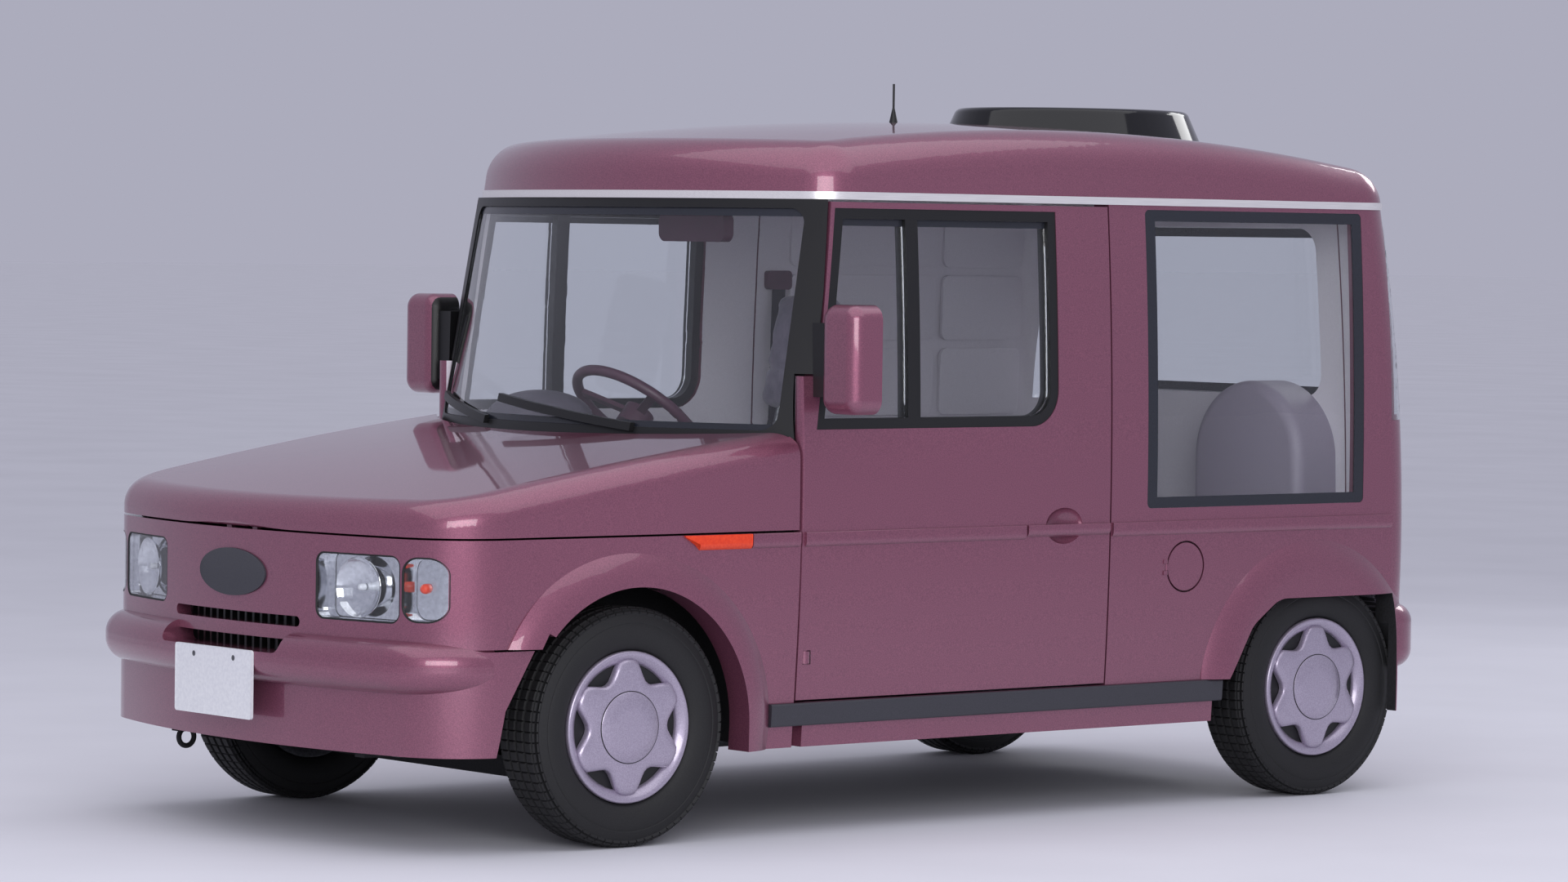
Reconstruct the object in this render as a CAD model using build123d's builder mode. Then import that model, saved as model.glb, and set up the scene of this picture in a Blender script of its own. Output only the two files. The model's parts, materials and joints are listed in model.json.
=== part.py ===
"""A small one-box concept car: front-engined, right-hand drive, with a hat-like roof.

Frame: X to the car's left, Y to the rear, Z up, millimetres.
The origin is on the ground under the middle of the car's box.
"""
import math
import os

from build123d import *

os.makedirs("parts", exist_ok=True)

# Chassis
WHEELBASE = 2300.0
FRONT_AXLE_Y = -995.0
REAR_AXLE_Y = FRONT_AXLE_Y + WHEELBASE
HALF_TRACK = 660.0

# Wheels and tyres
TYRE_R = 287.5
TYRE_HALF_WIDTH = 79.0
TREAD_HALF_WIDTH = 56.0
RIM_R = 165.0
RIM_FLANGE_R = 181.0
RIM_HALF_WIDTH = 64.0
COVER_PROUD = 11.0
VENT_COUNT = 6
STUB_R = 20.0
RUNNING_FIT = 0.05

# Body shell
WALL = 55.0
SKIN = 40.0
SHUT_GAP = 5.0
SEAT_GAP = 0.3
# past the body at its sides and behind it, for cutting blocks
BEYOND = 900.0
BEHIND_Y = 1750.0
FLOOR_Z = 216.0
BELT_Z = 742.0
TRIM_Z = 1551.0
TRIM_HEIGHT = 19.0
TRIM_PROUD = 4.0
ROCKER_TOP_Z = 326.0
# height, half width, rear wall Y and rear corner radius of the body's plan
BODY_LEVELS = (
    (FLOOR_Z, 736.0, 1636.0, 90.0),
    (BELT_Z, 757.0, 1645.0, 95.0),
    (TRIM_Z, 729.0, 1590.0, 125.0),
)
BELT_HALF = BODY_LEVELS[1][1]
TRIM_HALF = BODY_LEVELS[2][1]
TRIM_REAR_Y = BODY_LEVELS[2][2]

# Nose, seen from above
NOSE_Y = -1642.0
NOSE_ARC_R = 2240.0
NOSE_CORNER_X = 590.0
NOSE_SIDE_X = 741.0
NOSE_SIDE_TAPER = 2.0
NOSE_SIDE_RUN = 1100.0

# Windscreen: height, corner half width, corner Y and centre Y of its outer face
SCREEN_LEVELS = (
    (940.0, 757.0, -486.0, -737.0),
    (TRIM_Z, 735.0, -388.0, -573.0),
)
SCREEN_SILL_Z = 985.0
SCREEN_HEADER_Z = 1528.0
SCREEN_OPENING_HALF = (690.0, 672.0)
GLASS = 6.0
GLASS_DEPTH = 14.0
COWL_ARC = (722.0, -512.0, -772.0)
COWL_BOTTOM_Z = 938.0
COWL_TOP_Z = 962.0
BULKHEAD_Y = -512.0
PILLAR = 45.0

# Doors
DOOR_BACK_Y = 525.0
DOOR_BOTTOM_Z = 331.0
DOOR_TOP_Z = 1545.0
DOOR_HINGE_X = 738.0
DOOR_HINGE_Y = -466.0
DOOR_NOSE_R = 30.0
# bottom and top of each hinge arm
HINGE_ARMS = ((420.0, 450.0), (680.0, 710.0))
HINGE_PIN_R = 8.0
HINGE_EYE_R = 14.0
HINGE_SLACK = 2.0
HINGE_ARM = 16.0
HINGE_ARM_FRONT = 4.0
HINGE_ARM_BACK = 12.0
DOOR_WAIST_Z = 962.0
DOOR_PILLAR_TOP_Y = -391.0
DOOR_NOSE_TOP_Z = 1120.0
DOOR_WINDOW_BACK_Y = 345.0
DOOR_WINDOW_SILL_Z = 990.0
DOOR_WINDOW_TOP_Z = 1530.0
DOOR_WINDOW_CORNER_R = 90.0
DOOR_FRAME_WIDTH = 26.0
DOOR_POST_Y = -135.0
DOOR_POST_WIDTH = 40.0

# Quarter windows, fuel flap and rear corner windows
QUARTER_WINDOW = (655.0, 1440.0, 775.0, 1540.0)
FLAP_Y = 795.0
FLAP_Z = 622.0
FLAP_R = 62.0
FLAP_POCKET = 45.0
FLAP_THICK = 8.0
FLAP_PIN_R = 2.0
FLAP_BARREL_R = 4.0
FLAP_SLEEVE = 8.0
FLAP_HINGE_HALF = 20.0
CORNER_GLASS_Y = 1545.0
CORNER_GLASS_Z = (992.0, 1545.0)
TAILGATE_HALF = 540.0
TAILGATE_Z = (520.0, 1543.0)
TAILGATE_HINGE_R = 15.0
TAILGATE_HINGE_Y = 1575.0
TAILGATE_WINDOW_R = 60.0
GATE_FRONT_Y = 1450.0
TAILGATE_WINDOW = (455.0, 1045.0, 1500.0)
# centre X, half width, bottom and depth of the spare wheel cover, and its top
SPARE = (300.0, 205.0, 560.0, 150.0)
SPARE_TOP = 1085.0
TAILGATE_PIN_R = 6.0
TAILGATE_PIN_REACH = 26.0
# the rear lamp fills this share of the strip beside the tailgate, from this far into it
CORNER_STRIP = BELT_HALF - TAILGATE_HALF
REAR_LAMP_HALF = 0.286 * CORNER_STRIP
REAR_LAMP_X = TAILGATE_HALF + 0.092 * CORNER_STRIP + REAR_LAMP_HALF
REAR_LAMP_Z = (555.0, 735.0)
REAR_LAMP_R = 18.0
REAR_PANEL_Z = 300.0

# Dark mouldings on the sills
MOULDING_Z = (269.0, 325.0)
MOULDING_END_Y = 935.0
MOULDING_PROUD = 14.0
MOULDING_EDGE_R = 6.0
CORNER_GLASS_IN = 0.23 * CORNER_STRIP
CORNER_GLASS_LAP = 15.0

# Wheel arches
FRONT_ARCH_R = 337.0
FRONT_ARCH_Y = -1003.0
FRONT_ARCH_Z = 287.0
FRONT_FLARE_R = 415.0
REAR_FLARE_R = 392.0
REAR_FLARE_Y = 1258.0
REAR_FLARE_Z = 305.0
REAR_ARCH_FRONT_R = 90.0
REAR_ARCH_BACK_R = 92.0
FLARE_X = 777.0
FLARE_ROOT_X = 700.0
FLARE_RIM_X = 745.0
FLARE_ROLL = 100.0
FRONT_FLARE_Z = 302.0
WELL_X = 425.0
WHEEL_ROOM = 12.0

# half span over which the crowns of the bonnet and the roof are drawn
CROWN_HALF = 900.0

# Bonnet: station, crown height and drop at the sides
BONNET_LEVELS = ((-1800.0, 782.0, 24.0), (-1150.0, 908.0, 24.0), (-400.0, 1012.0, 24.0))
BONNET_EDGE_R = 70.0
BONNET_SKIN = 22.0
BONNET_BOTTOM_Z = BELT_Z + SHUT_GAP
BONNET_HINGE_R = 12.0
BONNET_HINGE_X = 55.0
BONNET_HINGE_HALF = 10.0
BONNET_EYE_R = 7.0
BONNET_PIN_R = 3.0
# the bonnet turns forward about this line across the car
LID_Y = NOSE_Y + BONNET_HINGE_R
LID_Z = BONNET_BOTTOM_Z + BONNET_HINGE_R

# Roof
ROOF_Z = TRIM_Z + TRIM_HEIGHT
ROOF_CREST_Y = 450.0
ROOF_CREST_Z = 1762.0
ROOF_LENGTH_R = 7300.0
ROOF_CROWN_R = 8200.0
ROOF_SWEEP = 12.0
ROOF_LEAN = 8.0
ROOF_EDGE_R = 105.0
ROOF_SKIN = 30.0
SCREEN_TOP_CORNER_R = 125.0
DOME = (330.0, 385.0, 1065.0, 1812.0)
ANTENNA_Y = 428.0
ANTENNA_TIP_Z = 1865.0
ANTENNA_BASE_R = 16.0
ANTENNA_R = 3.0
DOME_LEAN = 24.0
DOME_EDGE_R = 22.0

# Bumpers, lamps and plates
BUMPER_Y = -1695.0
BUMPER_Z = (380.0, 505.0)
BUMPER_END_Y = -1395.0
BUMPER_CORNER_R = 215.0
BUMPER_EDGE_R = 56.0
APRON_Z = 235.0
APRON_TOP_Z = 487.0
REAR_BUMPER_Y = 1695.0
REAR_BUMPER_Z = (326.0, 499.0)
REAR_BUMPER_END_Y = 1562.0
REAR_BUMPER_HALF = 766.0
REAR_BUMPER_CORNER_R = 120.0
REAR_BUMPER_EDGE_R = 50.0
INTAKE_HALF = 250.0
INTAKE_DEPTH = 48.0
GRILLE_SLOT = (265.0, 519.0, 544.0)
GRILLE_Z = (440.0, 565.0)
GRILLE_HALF = 300.0
GRILLE_DEPTH = 14.0
GRILLE_PITCH = 32.0
GRILLE_RIB = 9.0
GRILLE_RIBS = 16
# centre X, half width, bottom, top and corner radius
HEADLAMP = (452.0, 132.0, 544.0, 702.0, 26.0)
INDICATOR = (640.0, 50.0, 549.0, 701.0, 40.0)
LAMP_REACH = 260.0
BADGE_HALF = (140.0, 57.0)
BADGE_Z = 637.0
BADGE_PROUD = 5.0
PLATE_SIZE = (330.0, 165.0)
PLATE_Z = 376.0
PLATE_SEAT_Y = -1688.0
PLATE_THICK = PLATE_SEAT_Y - SEAT_GAP - BUMPER_Y

# Door mirrors, left one's lowest and highest corners
MIRROR_LOW = (800.0, -486.0, 1030.0)
MIRROR_HIGH = (935.0, -396.0, 1296.0)

# Steering and front suspension
KINGPIN_LOW = (600.0, 165.0)
KINGPIN_HIGH = (490.0, 700.0)
STRUT_R = 20.0
CARRIER_R = 55.0
CARRIER_X = (545.0, 628.0)
SUBFRAME_Y = (-1060.0, -930.0)
SUBFRAME_Z = (140.0, 190.0)
ARM_HALF = 28.0
HUB_X = (-22.0, 40.0)
HUB_R = 58.0
RIM_LIP = 12.0
RIM_WALL = 8.0
CAP_R = 44.0
VENT_R = 118.0
VENT_SIZE = (52.0, 20.0)
STAR_R = 96.0
STAR_ARM = 34.0
SHOULDER = 9.0

# Floor pan and engine bay
FLOOR = 30.0
BULKHEAD = 33.0
BULKHEAD_HALF = 680.0
STEP_Y = 955.0
STEP_Z = 430.0
WING_X = (405.0, 415.0)
WING_Y = (-1540.0, -620.0)
RAIL_X = (375.0, 415.0)
RAIL_Z = 260.0
TOWER_Z = (660.0, 720.0)
TOWER_X = 560.0
TOWER_HALF = 65.0
TUB_R = 330.0
TUB_WALL = 6.0
TUB_X = 550.0
TOW_LOOP = (22.0, 6.5)

# Rear axle, engine, tank and exhaust
BEAM_R = 35.0
TRAIL_X = 420.0
SPRING_R = 48.0
ENGINE_LOW = (-330.0, -1330.0)
ENGINE_HIGH = (250.0, -900.0, 640.0)
TANK_HALF = 250.0
TANK_LENGTH = 240.0
TANK_Z = 250.0
# X, height and radius of the pipe; Y, height, radius and half length of the silencer
PIPE = (150.0, 180.0, 22.0)
SILENCER = (1490.0, 250.0, 70.0, 240.0)
TAILPIPE = 170.0

# Seats and controls
STEERING_CENTRE = (-365.0, -130.0, 985.0)
COLUMN_AXIS = (0.0, 0.64, 0.7684)
STEERING_R = 185.0
RIM_GRIP_R = 14.0
COLUMN_R = 34.0
SHAFT_R = 10.0
DASH_HALF = 676.0
DASH_Z = 640.0
DASH_BACK_Y = -330.0
SHELF = 16.0
SHELF_HALF = 615.0
SEAT_X = 365.0
SEAT_HALF = 235.0
# side view of a seat from the front of its cushion round to the front of its back
SEAT_OUTLINE = (
    (-150.0, 330.0), (330.0, 330.0), (470.0, 950.0), (350.0, 965.0), (230.0, 500.0), (-150.0, 480.0),
)
CABIN_MIRROR = (-232.0, 1480.0)
CABIN_MIRROR_SIZE = (270.0, 30.0, 75.0)
STEM_R = 7.0
# pivot X, tip X and tip height of each wiper
WIPERS = ((330.0, -200.0, 1032.0), (-250.0, -640.0, 1024.0))
WIPER_Z = 975.0
WIPER_WIDE = 20.0
WIPER_DEEP = 14.0


def side_frame(station):
    """Plane across the car at a station, local X to the left and local Y up, facing the front."""
    return Plane(origin=(0, station, 0), x_dir=(1, 0, 0), z_dir=(0, -1, 0))


def body_solid(inset, front):
    """The closed body from floor to roof trim, every face moved in by the inset."""
    with BuildPart() as body:
        for height, half, rear, radius in BODY_LEVELS:
            wide = half - inset
            back = rear - inset
            bend = radius - inset
            cut = bend * (1 - math.sqrt(0.5))
            with BuildSketch(Plane.XY.offset(height)):
                with BuildLine():
                    Line((-wide, front), (wide, front))
                    Line((wide, front), (wide, back - bend))
                    ThreePointArc((wide, back - bend), (wide - cut, back - cut), (wide - bend, back))
                    Line((wide - bend, back), (bend - wide, back))
                    ThreePointArc((bend - wide, back), (cut - wide, back - cut), (-wide, back - bend))
                    Line((-wide, back - bend), (-wide, front))
                make_face()
        loft()
    return body.part


def nose_plan(outset):
    """Plan outline of the nose and wings, moved out by the outset, as a face at Z = 0."""
    slope = math.asin(NOSE_CORNER_X / NOSE_ARC_R)
    taper = math.radians(NOSE_SIDE_TAPER)
    corner_y = NOSE_Y + NOSE_ARC_R * (1 - math.cos(slope))
    corner_r = (NOSE_SIDE_X - NOSE_CORNER_X) / (math.cos(taper) - math.sin(slope))
    side_y = corner_y + corner_r * (math.cos(slope) - math.sin(taper))
    end_x = NOSE_SIDE_X + NOSE_SIDE_RUN * math.tan(taper)
    end_y = side_y + NOSE_SIDE_RUN
    with BuildSketch() as plan:
        with BuildLine():
            ThreePointArc((-NOSE_CORNER_X, corner_y), (0, NOSE_Y), (NOSE_CORNER_X, corner_y))
            for side in (-1, 1):
                corner = (side * NOSE_CORNER_X, corner_y)
                tangent = (side * math.cos(slope), math.sin(slope))
                TangentArc(corner, (side * NOSE_SIDE_X, side_y), tangent=tangent)
                Line((side * NOSE_SIDE_X, side_y), (side * end_x, end_y))
            Line((end_x, end_y), (-end_x, end_y))
        make_face()
        if outset:
            offset(amount=outset, kind=Kind.INTERSECTION)
    return plan.sketch


def nose_solid(inset, low, high):
    """The closed front end between two heights, every wall moved in by the inset."""
    with BuildPart() as nose:
        with BuildSketch(Plane.XY.offset(low)):
            add(nose_plan(-inset))
        extrude(amount=high - low)
        add(body_solid(inset, NOSE_Y - 200), mode=Mode.INTERSECT)
    return nose.part


def side_prism(outline, low_x, high_x):
    """A block with the given side-view outline of (Y, Z) points, between two X planes."""
    with BuildPart() as prism:
        with BuildSketch(Plane.YZ.offset(low_x)):
            with BuildLine():
                Polyline(*outline, close=True)
            make_face()
        extrude(amount=high_x - low_x)
    return prism.part


def block(low, high):
    """A plain box between two corners."""
    with BuildPart() as box:
        with Locations([tuple((a + b) / 2 for a, b in zip(low, high))]):
            Box(*(b - a for a, b in zip(low, high)))
    return box.part


def screen_solid(inset, low, high):
    """What lies behind the windscreen's outer face, moved in by the inset, between two heights."""
    (z_low, *base), (z_high, *top) = SCREEN_LEVELS
    with BuildPart() as screen:
        for height in (low, high):
            share = (height - z_low) / (z_high - z_low)
            half, corner_y, centre_y = (a + share * (b - a) for a, b in zip(base, top))
            with BuildSketch(Plane.XY.offset(height)):
                with BuildLine():
                    corner_y += inset
                    ThreePointArc((-half, corner_y), (0, centre_y + inset), (half, corner_y))
                    Polyline((half, corner_y), (half, 0), (-half, 0), (-half, corner_y))
                make_face()
        loft(ruled=True)
    return screen.part


def mirrored(part):
    return mirror(part, about=Plane.YZ)


def write(part, name):
    part.label = name
    export_step(part, f"parts/{name}.step")


def pair(part):
    """The piece and its mirror image on the car's other side, as one node."""
    return Compound(children=[part, mirrored(part)])


def axle_post(radius, low_x, high_x, station):
    """A round bar across the car on an axle's centre line."""
    with BuildPart() as post:
        with BuildSketch(Plane.YZ.offset(low_x)):
            with Locations((station, TYRE_R)):
                Circle(radius)
        extrude(amount=high_x - low_x)
    return post.part


# Shared blanks of the body
CABIN_FRONT = -900.0
outer = body_solid(0, CABIN_FRONT)
inner = body_solid(WALL, CABIN_FRONT - 100)
with BuildPart() as shell:
    add(outer)
    add(inner, mode=Mode.SUBTRACT)
walls = shell.part

# The door's outline in side view; its rounded nose turns about the hinge axis
DOOR_OUTLINE = (
    (DOOR_HINGE_Y, DOOR_BOTTOM_Z),
    (DOOR_BACK_Y, DOOR_BOTTOM_Z),
    (DOOR_BACK_Y, DOOR_TOP_Z),
    (DOOR_PILLAR_TOP_Y, DOOR_TOP_Z),
    (DOOR_HINGE_Y, DOOR_WAIST_Z),
)
PILLAR_SLOPE = (DOOR_PILLAR_TOP_Y - DOOR_HINGE_Y) / (DOOR_TOP_Z - DOOR_WAIST_Z)


def pillar_y(height):
    """Front edge of the door along the windscreen pillar."""
    return DOOR_HINGE_Y + PILLAR_SLOPE * (height - DOOR_WAIST_Z)


def hinge_post(radius, low, high):
    """A round post about the left door's hinge axis."""
    with BuildPart() as post:
        with Locations((DOOR_HINGE_X, DOOR_HINGE_Y, low)):
            Cylinder(radius, high - low, align=(Align.CENTER, Align.CENTER, Align.MIN))
    return post.part


def door_window(inset):
    """Left door's window opening in side view, drawn in by the inset, with Y and Z as its axes."""
    with BuildSketch() as window:
        with BuildLine():
            Polyline(
                (pillar_y(DOOR_WINDOW_SILL_Z) + 12 + inset, DOOR_WINDOW_SILL_Z + inset),
                (DOOR_WINDOW_BACK_Y - inset, DOOR_WINDOW_SILL_Z + inset),
                (DOOR_WINDOW_BACK_Y - inset, DOOR_WINDOW_TOP_Z - inset),
                (pillar_y(DOOR_WINDOW_TOP_Z) + 12 + inset, DOOR_WINDOW_TOP_Z - inset),
                close=True,
            )
        make_face()
        corner = window.vertices().group_by(Axis.X)[-1].sort_by(Axis.Y)[0]
        fillet(corner, DOOR_WINDOW_CORNER_R - inset)
    return window.sketch


def hinge_slot(low, high):
    """Room in the left door for one hinge arm, open towards the cabin."""
    slack = high - low + 2 * HINGE_SLACK
    with BuildPart() as slot:
        with BuildSketch(Plane.XY.offset(low - HINGE_SLACK)):
            with Locations((DOOR_HINGE_X, DOOR_HINGE_Y)):
                Circle(DOOR_NOSE_R + 1)
                Rectangle(100, 200, align=(Align.MIN, Align.CENTER), mode=Mode.SUBTRACT)
                Rectangle(60, 2 * DOOR_NOSE_R, align=(Align.MAX, Align.CENTER))
                Circle(HINGE_EYE_R + HINGE_SLACK)
        extrude(amount=slack)
    return slot.part


# Left door: a thick panel with its window cut and a round nose on the hinge axis
with BuildPart() as door_nose:
    add(walls)
    add(hinge_post(DOOR_NOSE_R, DOOR_BOTTOM_Z, DOOR_NOSE_TOP_Z), mode=Mode.INTERSECT)
with BuildPart() as door_left:
    add(walls)
    add(side_prism(DOOR_OUTLINE, 0, BEYOND), mode=Mode.INTERSECT)
    add(door_nose.part)
    with BuildSketch(Plane.YZ):
        add(door_window(0))
    extrude(amount=BEYOND, mode=Mode.SUBTRACT)
    for low, high in HINGE_ARMS:
        add(hinge_slot(low, high), mode=Mode.SUBTRACT)
        add(hinge_post(HINGE_PIN_R, low - 12, high + 12))
write(door_left.part, "door_left")
write(mirrored(door_left.part), "door_right")

# Black window frame with its post, set just inside the door's opening
with BuildPart() as door_frame_left:
    with BuildSketch(Plane.YZ):
        add(door_window(SEAT_GAP))
        add(door_window(DOOR_FRAME_WIDTH), mode=Mode.SUBTRACT)
        with Locations((DOOR_POST_Y, (DOOR_WINDOW_SILL_Z + DOOR_WINDOW_TOP_Z) / 2)):
            Rectangle(DOOR_POST_WIDTH, DOOR_WINDOW_TOP_Z - DOOR_WINDOW_SILL_Z - 2 * SEAT_GAP)
    extrude(amount=BEYOND)
    add(body_solid(2, CABIN_FRONT), mode=Mode.INTERSECT)
    add(body_solid(WALL - 10, CABIN_FRONT - 100), mode=Mode.SUBTRACT)
write(door_frame_left.part, "door_frame_left")
write(mirrored(door_frame_left.part), "door_frame_right")

# Door glass: the quarter light ahead of the post and the main pane behind it
with BuildPart() as door_glass_left:
    with BuildSketch(Plane.YZ):
        add(door_window(DOOR_FRAME_WIDTH + SEAT_GAP))
        with Locations((DOOR_POST_Y, (DOOR_WINDOW_SILL_Z + DOOR_WINDOW_TOP_Z) / 2)):
            Rectangle(
                DOOR_POST_WIDTH + 2 * SEAT_GAP, DOOR_WINDOW_TOP_Z - DOOR_WINDOW_SILL_Z, mode=Mode.SUBTRACT
            )
    extrude(amount=BEYOND)
    add(body_solid(GLASS_DEPTH, CABIN_FRONT), mode=Mode.INTERSECT)
    add(body_solid(GLASS_DEPTH + GLASS, CABIN_FRONT - 100), mode=Mode.SUBTRACT)
write(door_glass_left.part, "door_glass_left")
write(mirrored(door_glass_left.part), "door_glass_right")

# Door mirror: a tall rounded housing on a foot that seats on the door's skin
with BuildPart() as mirror_left:
    add(block(MIRROR_LOW, MIRROR_HIGH))
    fillet(mirror_left.edges().filter_by(Axis.Y), 38)
    fillet(mirror_left.faces().sort_by(Axis.Y)[0].edges(), 34)
    foot_y = (MIRROR_LOW[1] + 24, MIRROR_HIGH[1] - 16)
    foot_z = (MIRROR_LOW[2] + 40, MIRROR_HIGH[2] - 46)
    add(block((700, foot_y[0], foot_z[0]), (MIRROR_LOW[0] + 40, foot_y[1], foot_z[1])))
    add(outer, mode=Mode.SUBTRACT)
write(mirror_left.part, "mirror_left")
write(mirrored(mirror_left.part), "mirror_right")


def flare(centre_y, centre_z, radius):
    """Domed disc whose rim runs out into the body side, centred on a wheel arch."""
    with BuildPart() as disc:
        with BuildSketch(Plane(origin=(0, centre_y, centre_z), x_dir=(1, 0, 0), z_dir=(0, 0, 1))):
            with BuildLine():
                Polyline(
                    (FLARE_X, radius - FLARE_ROLL),
                    (FLARE_X, 0),
                    (FLARE_ROOT_X, 0),
                    (FLARE_ROOT_X, radius),
                    (FLARE_RIM_X, radius),
                )
                ThreePointArc(
                    (FLARE_RIM_X, radius),
                    (FLARE_X - 0.28 * (FLARE_X - FLARE_RIM_X), radius - 0.44 * FLARE_ROLL),
                    (FLARE_X, radius - FLARE_ROLL),
                )
            make_face()
        revolve(axis=Axis((0, centre_y, centre_z), (1, 0, 0)))
    return disc.part


# Wheel arch openings in side view, as cutters on the left side
with BuildPart() as front_arch:
    with BuildSketch(Plane.YZ.offset(WELL_X)):
        with Locations((FRONT_ARCH_Y, FRONT_ARCH_Z)):
            Circle(FRONT_ARCH_R)
        with BuildLine():
            Polyline(
                (FRONT_ARCH_Y - 265, FRONT_ARCH_Z + 236),
                (FRONT_ARCH_Y - 370, FRONT_ARCH_Z + 56),
                (FRONT_ARCH_Y - 440, 0),
                (FRONT_ARCH_Y + FRONT_ARCH_R, 0),
                (FRONT_ARCH_Y + FRONT_ARCH_R, FRONT_ARCH_Z),
                (FRONT_ARCH_Y, FRONT_ARCH_Z + 100),
                close=True,
            )
        make_face()
    extrude(amount=500)
with BuildPart() as rear_arch:
    with BuildSketch(Plane.YZ.offset(WELL_X)) as rear_lip:
        with BuildLine():
            Polyline(
                (REAR_FLARE_Y - 333, 0),
                (REAR_FLARE_Y - 322, REAR_FLARE_Z + 10),
                (REAR_FLARE_Y - 235, REAR_FLARE_Z + 158),
                (REAR_FLARE_Y - 140, REAR_FLARE_Z + 225),
                (REAR_FLARE_Y + 300, REAR_FLARE_Z + 225),
                (REAR_FLARE_Y + 300, 0),
                close=True,
            )
        make_face()
        upper = rear_lip.vertices().filter_by(lambda v: v.Y > REAR_FLARE_Z + 100)
        fillet(upper.filter_by(lambda v: v.X < REAR_FLARE_Y), REAR_ARCH_FRONT_R)
        fillet(upper.filter_by(lambda v: v.X > REAR_FLARE_Y), REAR_ARCH_BACK_R)
    extrude(amount=500)

# Nose and wings: one thick skin below the bonnet's shut line, flared over the wheels
with BuildPart() as front_flare:
    add(flare(FRONT_AXLE_Y, FRONT_FLARE_Z, FRONT_FLARE_R))
    flare_back = DOOR_HINGE_Y - DOOR_NOSE_R - 2 * SHUT_GAP
    add(block((0, NOSE_Y, FLOOR_Z), (BEYOND, flare_back, BELT_Z - 20)), mode=Mode.INTERSECT)
nose_outer = nose_solid(0, FLOOR_Z, BELT_Z)
nose_inner = nose_solid(SKIN, FLOOR_Z - 50, BELT_Z + 50)
with BuildPart() as front_panel:
    add(nose_outer)
    add(nose_inner, mode=Mode.SUBTRACT)
    add(block((-BEYOND, DOOR_HINGE_Y - SHUT_GAP, 0), (BEYOND, 0, 1000)), mode=Mode.SUBTRACT)
    add(front_flare.part)
    add(mirrored(front_flare.part))
    add(block((-BEYOND, 2 * NOSE_Y, 0), (BEYOND, FRONT_ARCH_Y, APRON_TOP_Z)), mode=Mode.SUBTRACT)
    for cutter in (front_arch.part, hinge_post(DOOR_NOSE_R + SHUT_GAP, 0, 1000)):
        add(cutter, mode=Mode.SUBTRACT)
        add(mirrored(cutter), mode=Mode.SUBTRACT)
    slot_half, slot_low, slot_high = GRILLE_SLOT
    with BuildSketch(side_frame(NOSE_Y + LAMP_REACH)):
        with Locations((0, (slot_low + slot_high) / 2)):
            SlotOverall(2 * slot_half, slot_high - slot_low)
        for middle, half, low, high, radius in (HEADLAMP, INDICATOR):
            with Locations((middle, (low + high) / 2), (-middle, (low + high) / 2)):
                RectangleRounded(2 * half, high - low, radius)
    extrude(amount=400, mode=Mode.SUBTRACT)
    for middle in (-BONNET_HINGE_X, BONNET_HINGE_X):
        left, right = middle - BONNET_HINGE_HALF, middle + BONNET_HINGE_HALF
        add(block((left, LID_Y, LID_Z - BONNET_EYE_R), (right, LID_Y + 26, LID_Z + BONNET_EYE_R)))
        add(block((left, LID_Y + 15, BELT_Z - 10), (right, LID_Y + 26, LID_Z + BONNET_EYE_R)))
        with Locations(Location((middle, LID_Y, LID_Z), (0, 90, 0))):
            Cylinder(BONNET_EYE_R, 2 * BONNET_HINGE_HALF)
            Cylinder(BONNET_PIN_R + RUNNING_FIT, 2 * BONNET_HINGE_HALF, mode=Mode.SUBTRACT)
write(front_panel.part, "front_panel")


def nose_tiles(shapes, proud, depth, gap):
    """Left and right pieces of the nose skin with rounded outlines, seen from the front."""
    with BuildPart() as tiles:
        with BuildSketch(side_frame(NOSE_Y + LAMP_REACH)):
            for middle, half, low, high, radius in shapes:
                with Locations((middle, (low + high) / 2), (-middle, (low + high) / 2)):
                    RectangleRounded(2 * (half - gap), high - low - 2 * gap, radius - gap)
        extrude(amount=400)
        add(nose_solid(-proud, FLOOR_Z, BELT_Z), mode=Mode.INTERSECT)
        add(nose_solid(depth, FLOOR_Z - 50, BELT_Z + 50), mode=Mode.SUBTRACT)
    return tiles.part


write(nose_tiles((HEADLAMP, INDICATOR), -3, SKIN - 4, SEAT_GAP), "front_lamps")

# Bonnet: a crowned shell with a soft edge, hinged at its front lip
def bonnet_solid(side_inset, top_inset, edge_r):
    """The closed bonnet with its sides and top moved in, and its top edge rounded."""
    with BuildPart() as bonnet:
        for station, height, drop in BONNET_LEVELS:
            top = height - top_inset
            with BuildSketch(side_frame(station)):
                with BuildLine():
                    left, right = (CROWN_HALF, top - drop), (-CROWN_HALF, top - drop)
                    ThreePointArc(right, (0, top), left)
                    Polyline(left, (CROWN_HALF, FLOOR_Z), (-CROWN_HALF, FLOOR_Z), right)
                make_face()
        loft()
        add(nose_solid(side_inset, BONNET_BOTTOM_Z, TRIM_Z), mode=Mode.INTERSECT)
        back = DOOR_HINGE_Y - DOOR_NOSE_R - SHUT_GAP
        add(block((-BEYOND, back, 0), (BEYOND, BEYOND, 2000)), mode=Mode.SUBTRACT)
        if edge_r:
            crown = bonnet.faces().sort_by(Axis.Z)[-1]
            fillet(crown.edges().filter_by(lambda e: e.center().Y < back - 1), edge_r)
    return bonnet.part


def cowl_block(grow, low, high):
    """What lies behind the bonnet's curved rear edge, between two heights."""
    half, corner_y, centre_y = COWL_ARC
    with BuildPart() as cowl:
        with BuildSketch(Plane.XY.offset(low)):
            with BuildLine():
                ThreePointArc(
                    (-half - grow, corner_y - grow), (0, centre_y - grow), (half + grow, corner_y - grow)
                )
                Polyline(
                    (half + grow, corner_y - grow), (half + grow, -300), (-half - grow, -300),
                    (-half - grow, corner_y - grow)
                )
            make_face()
        extrude(amount=high - low)
    return cowl.part


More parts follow.
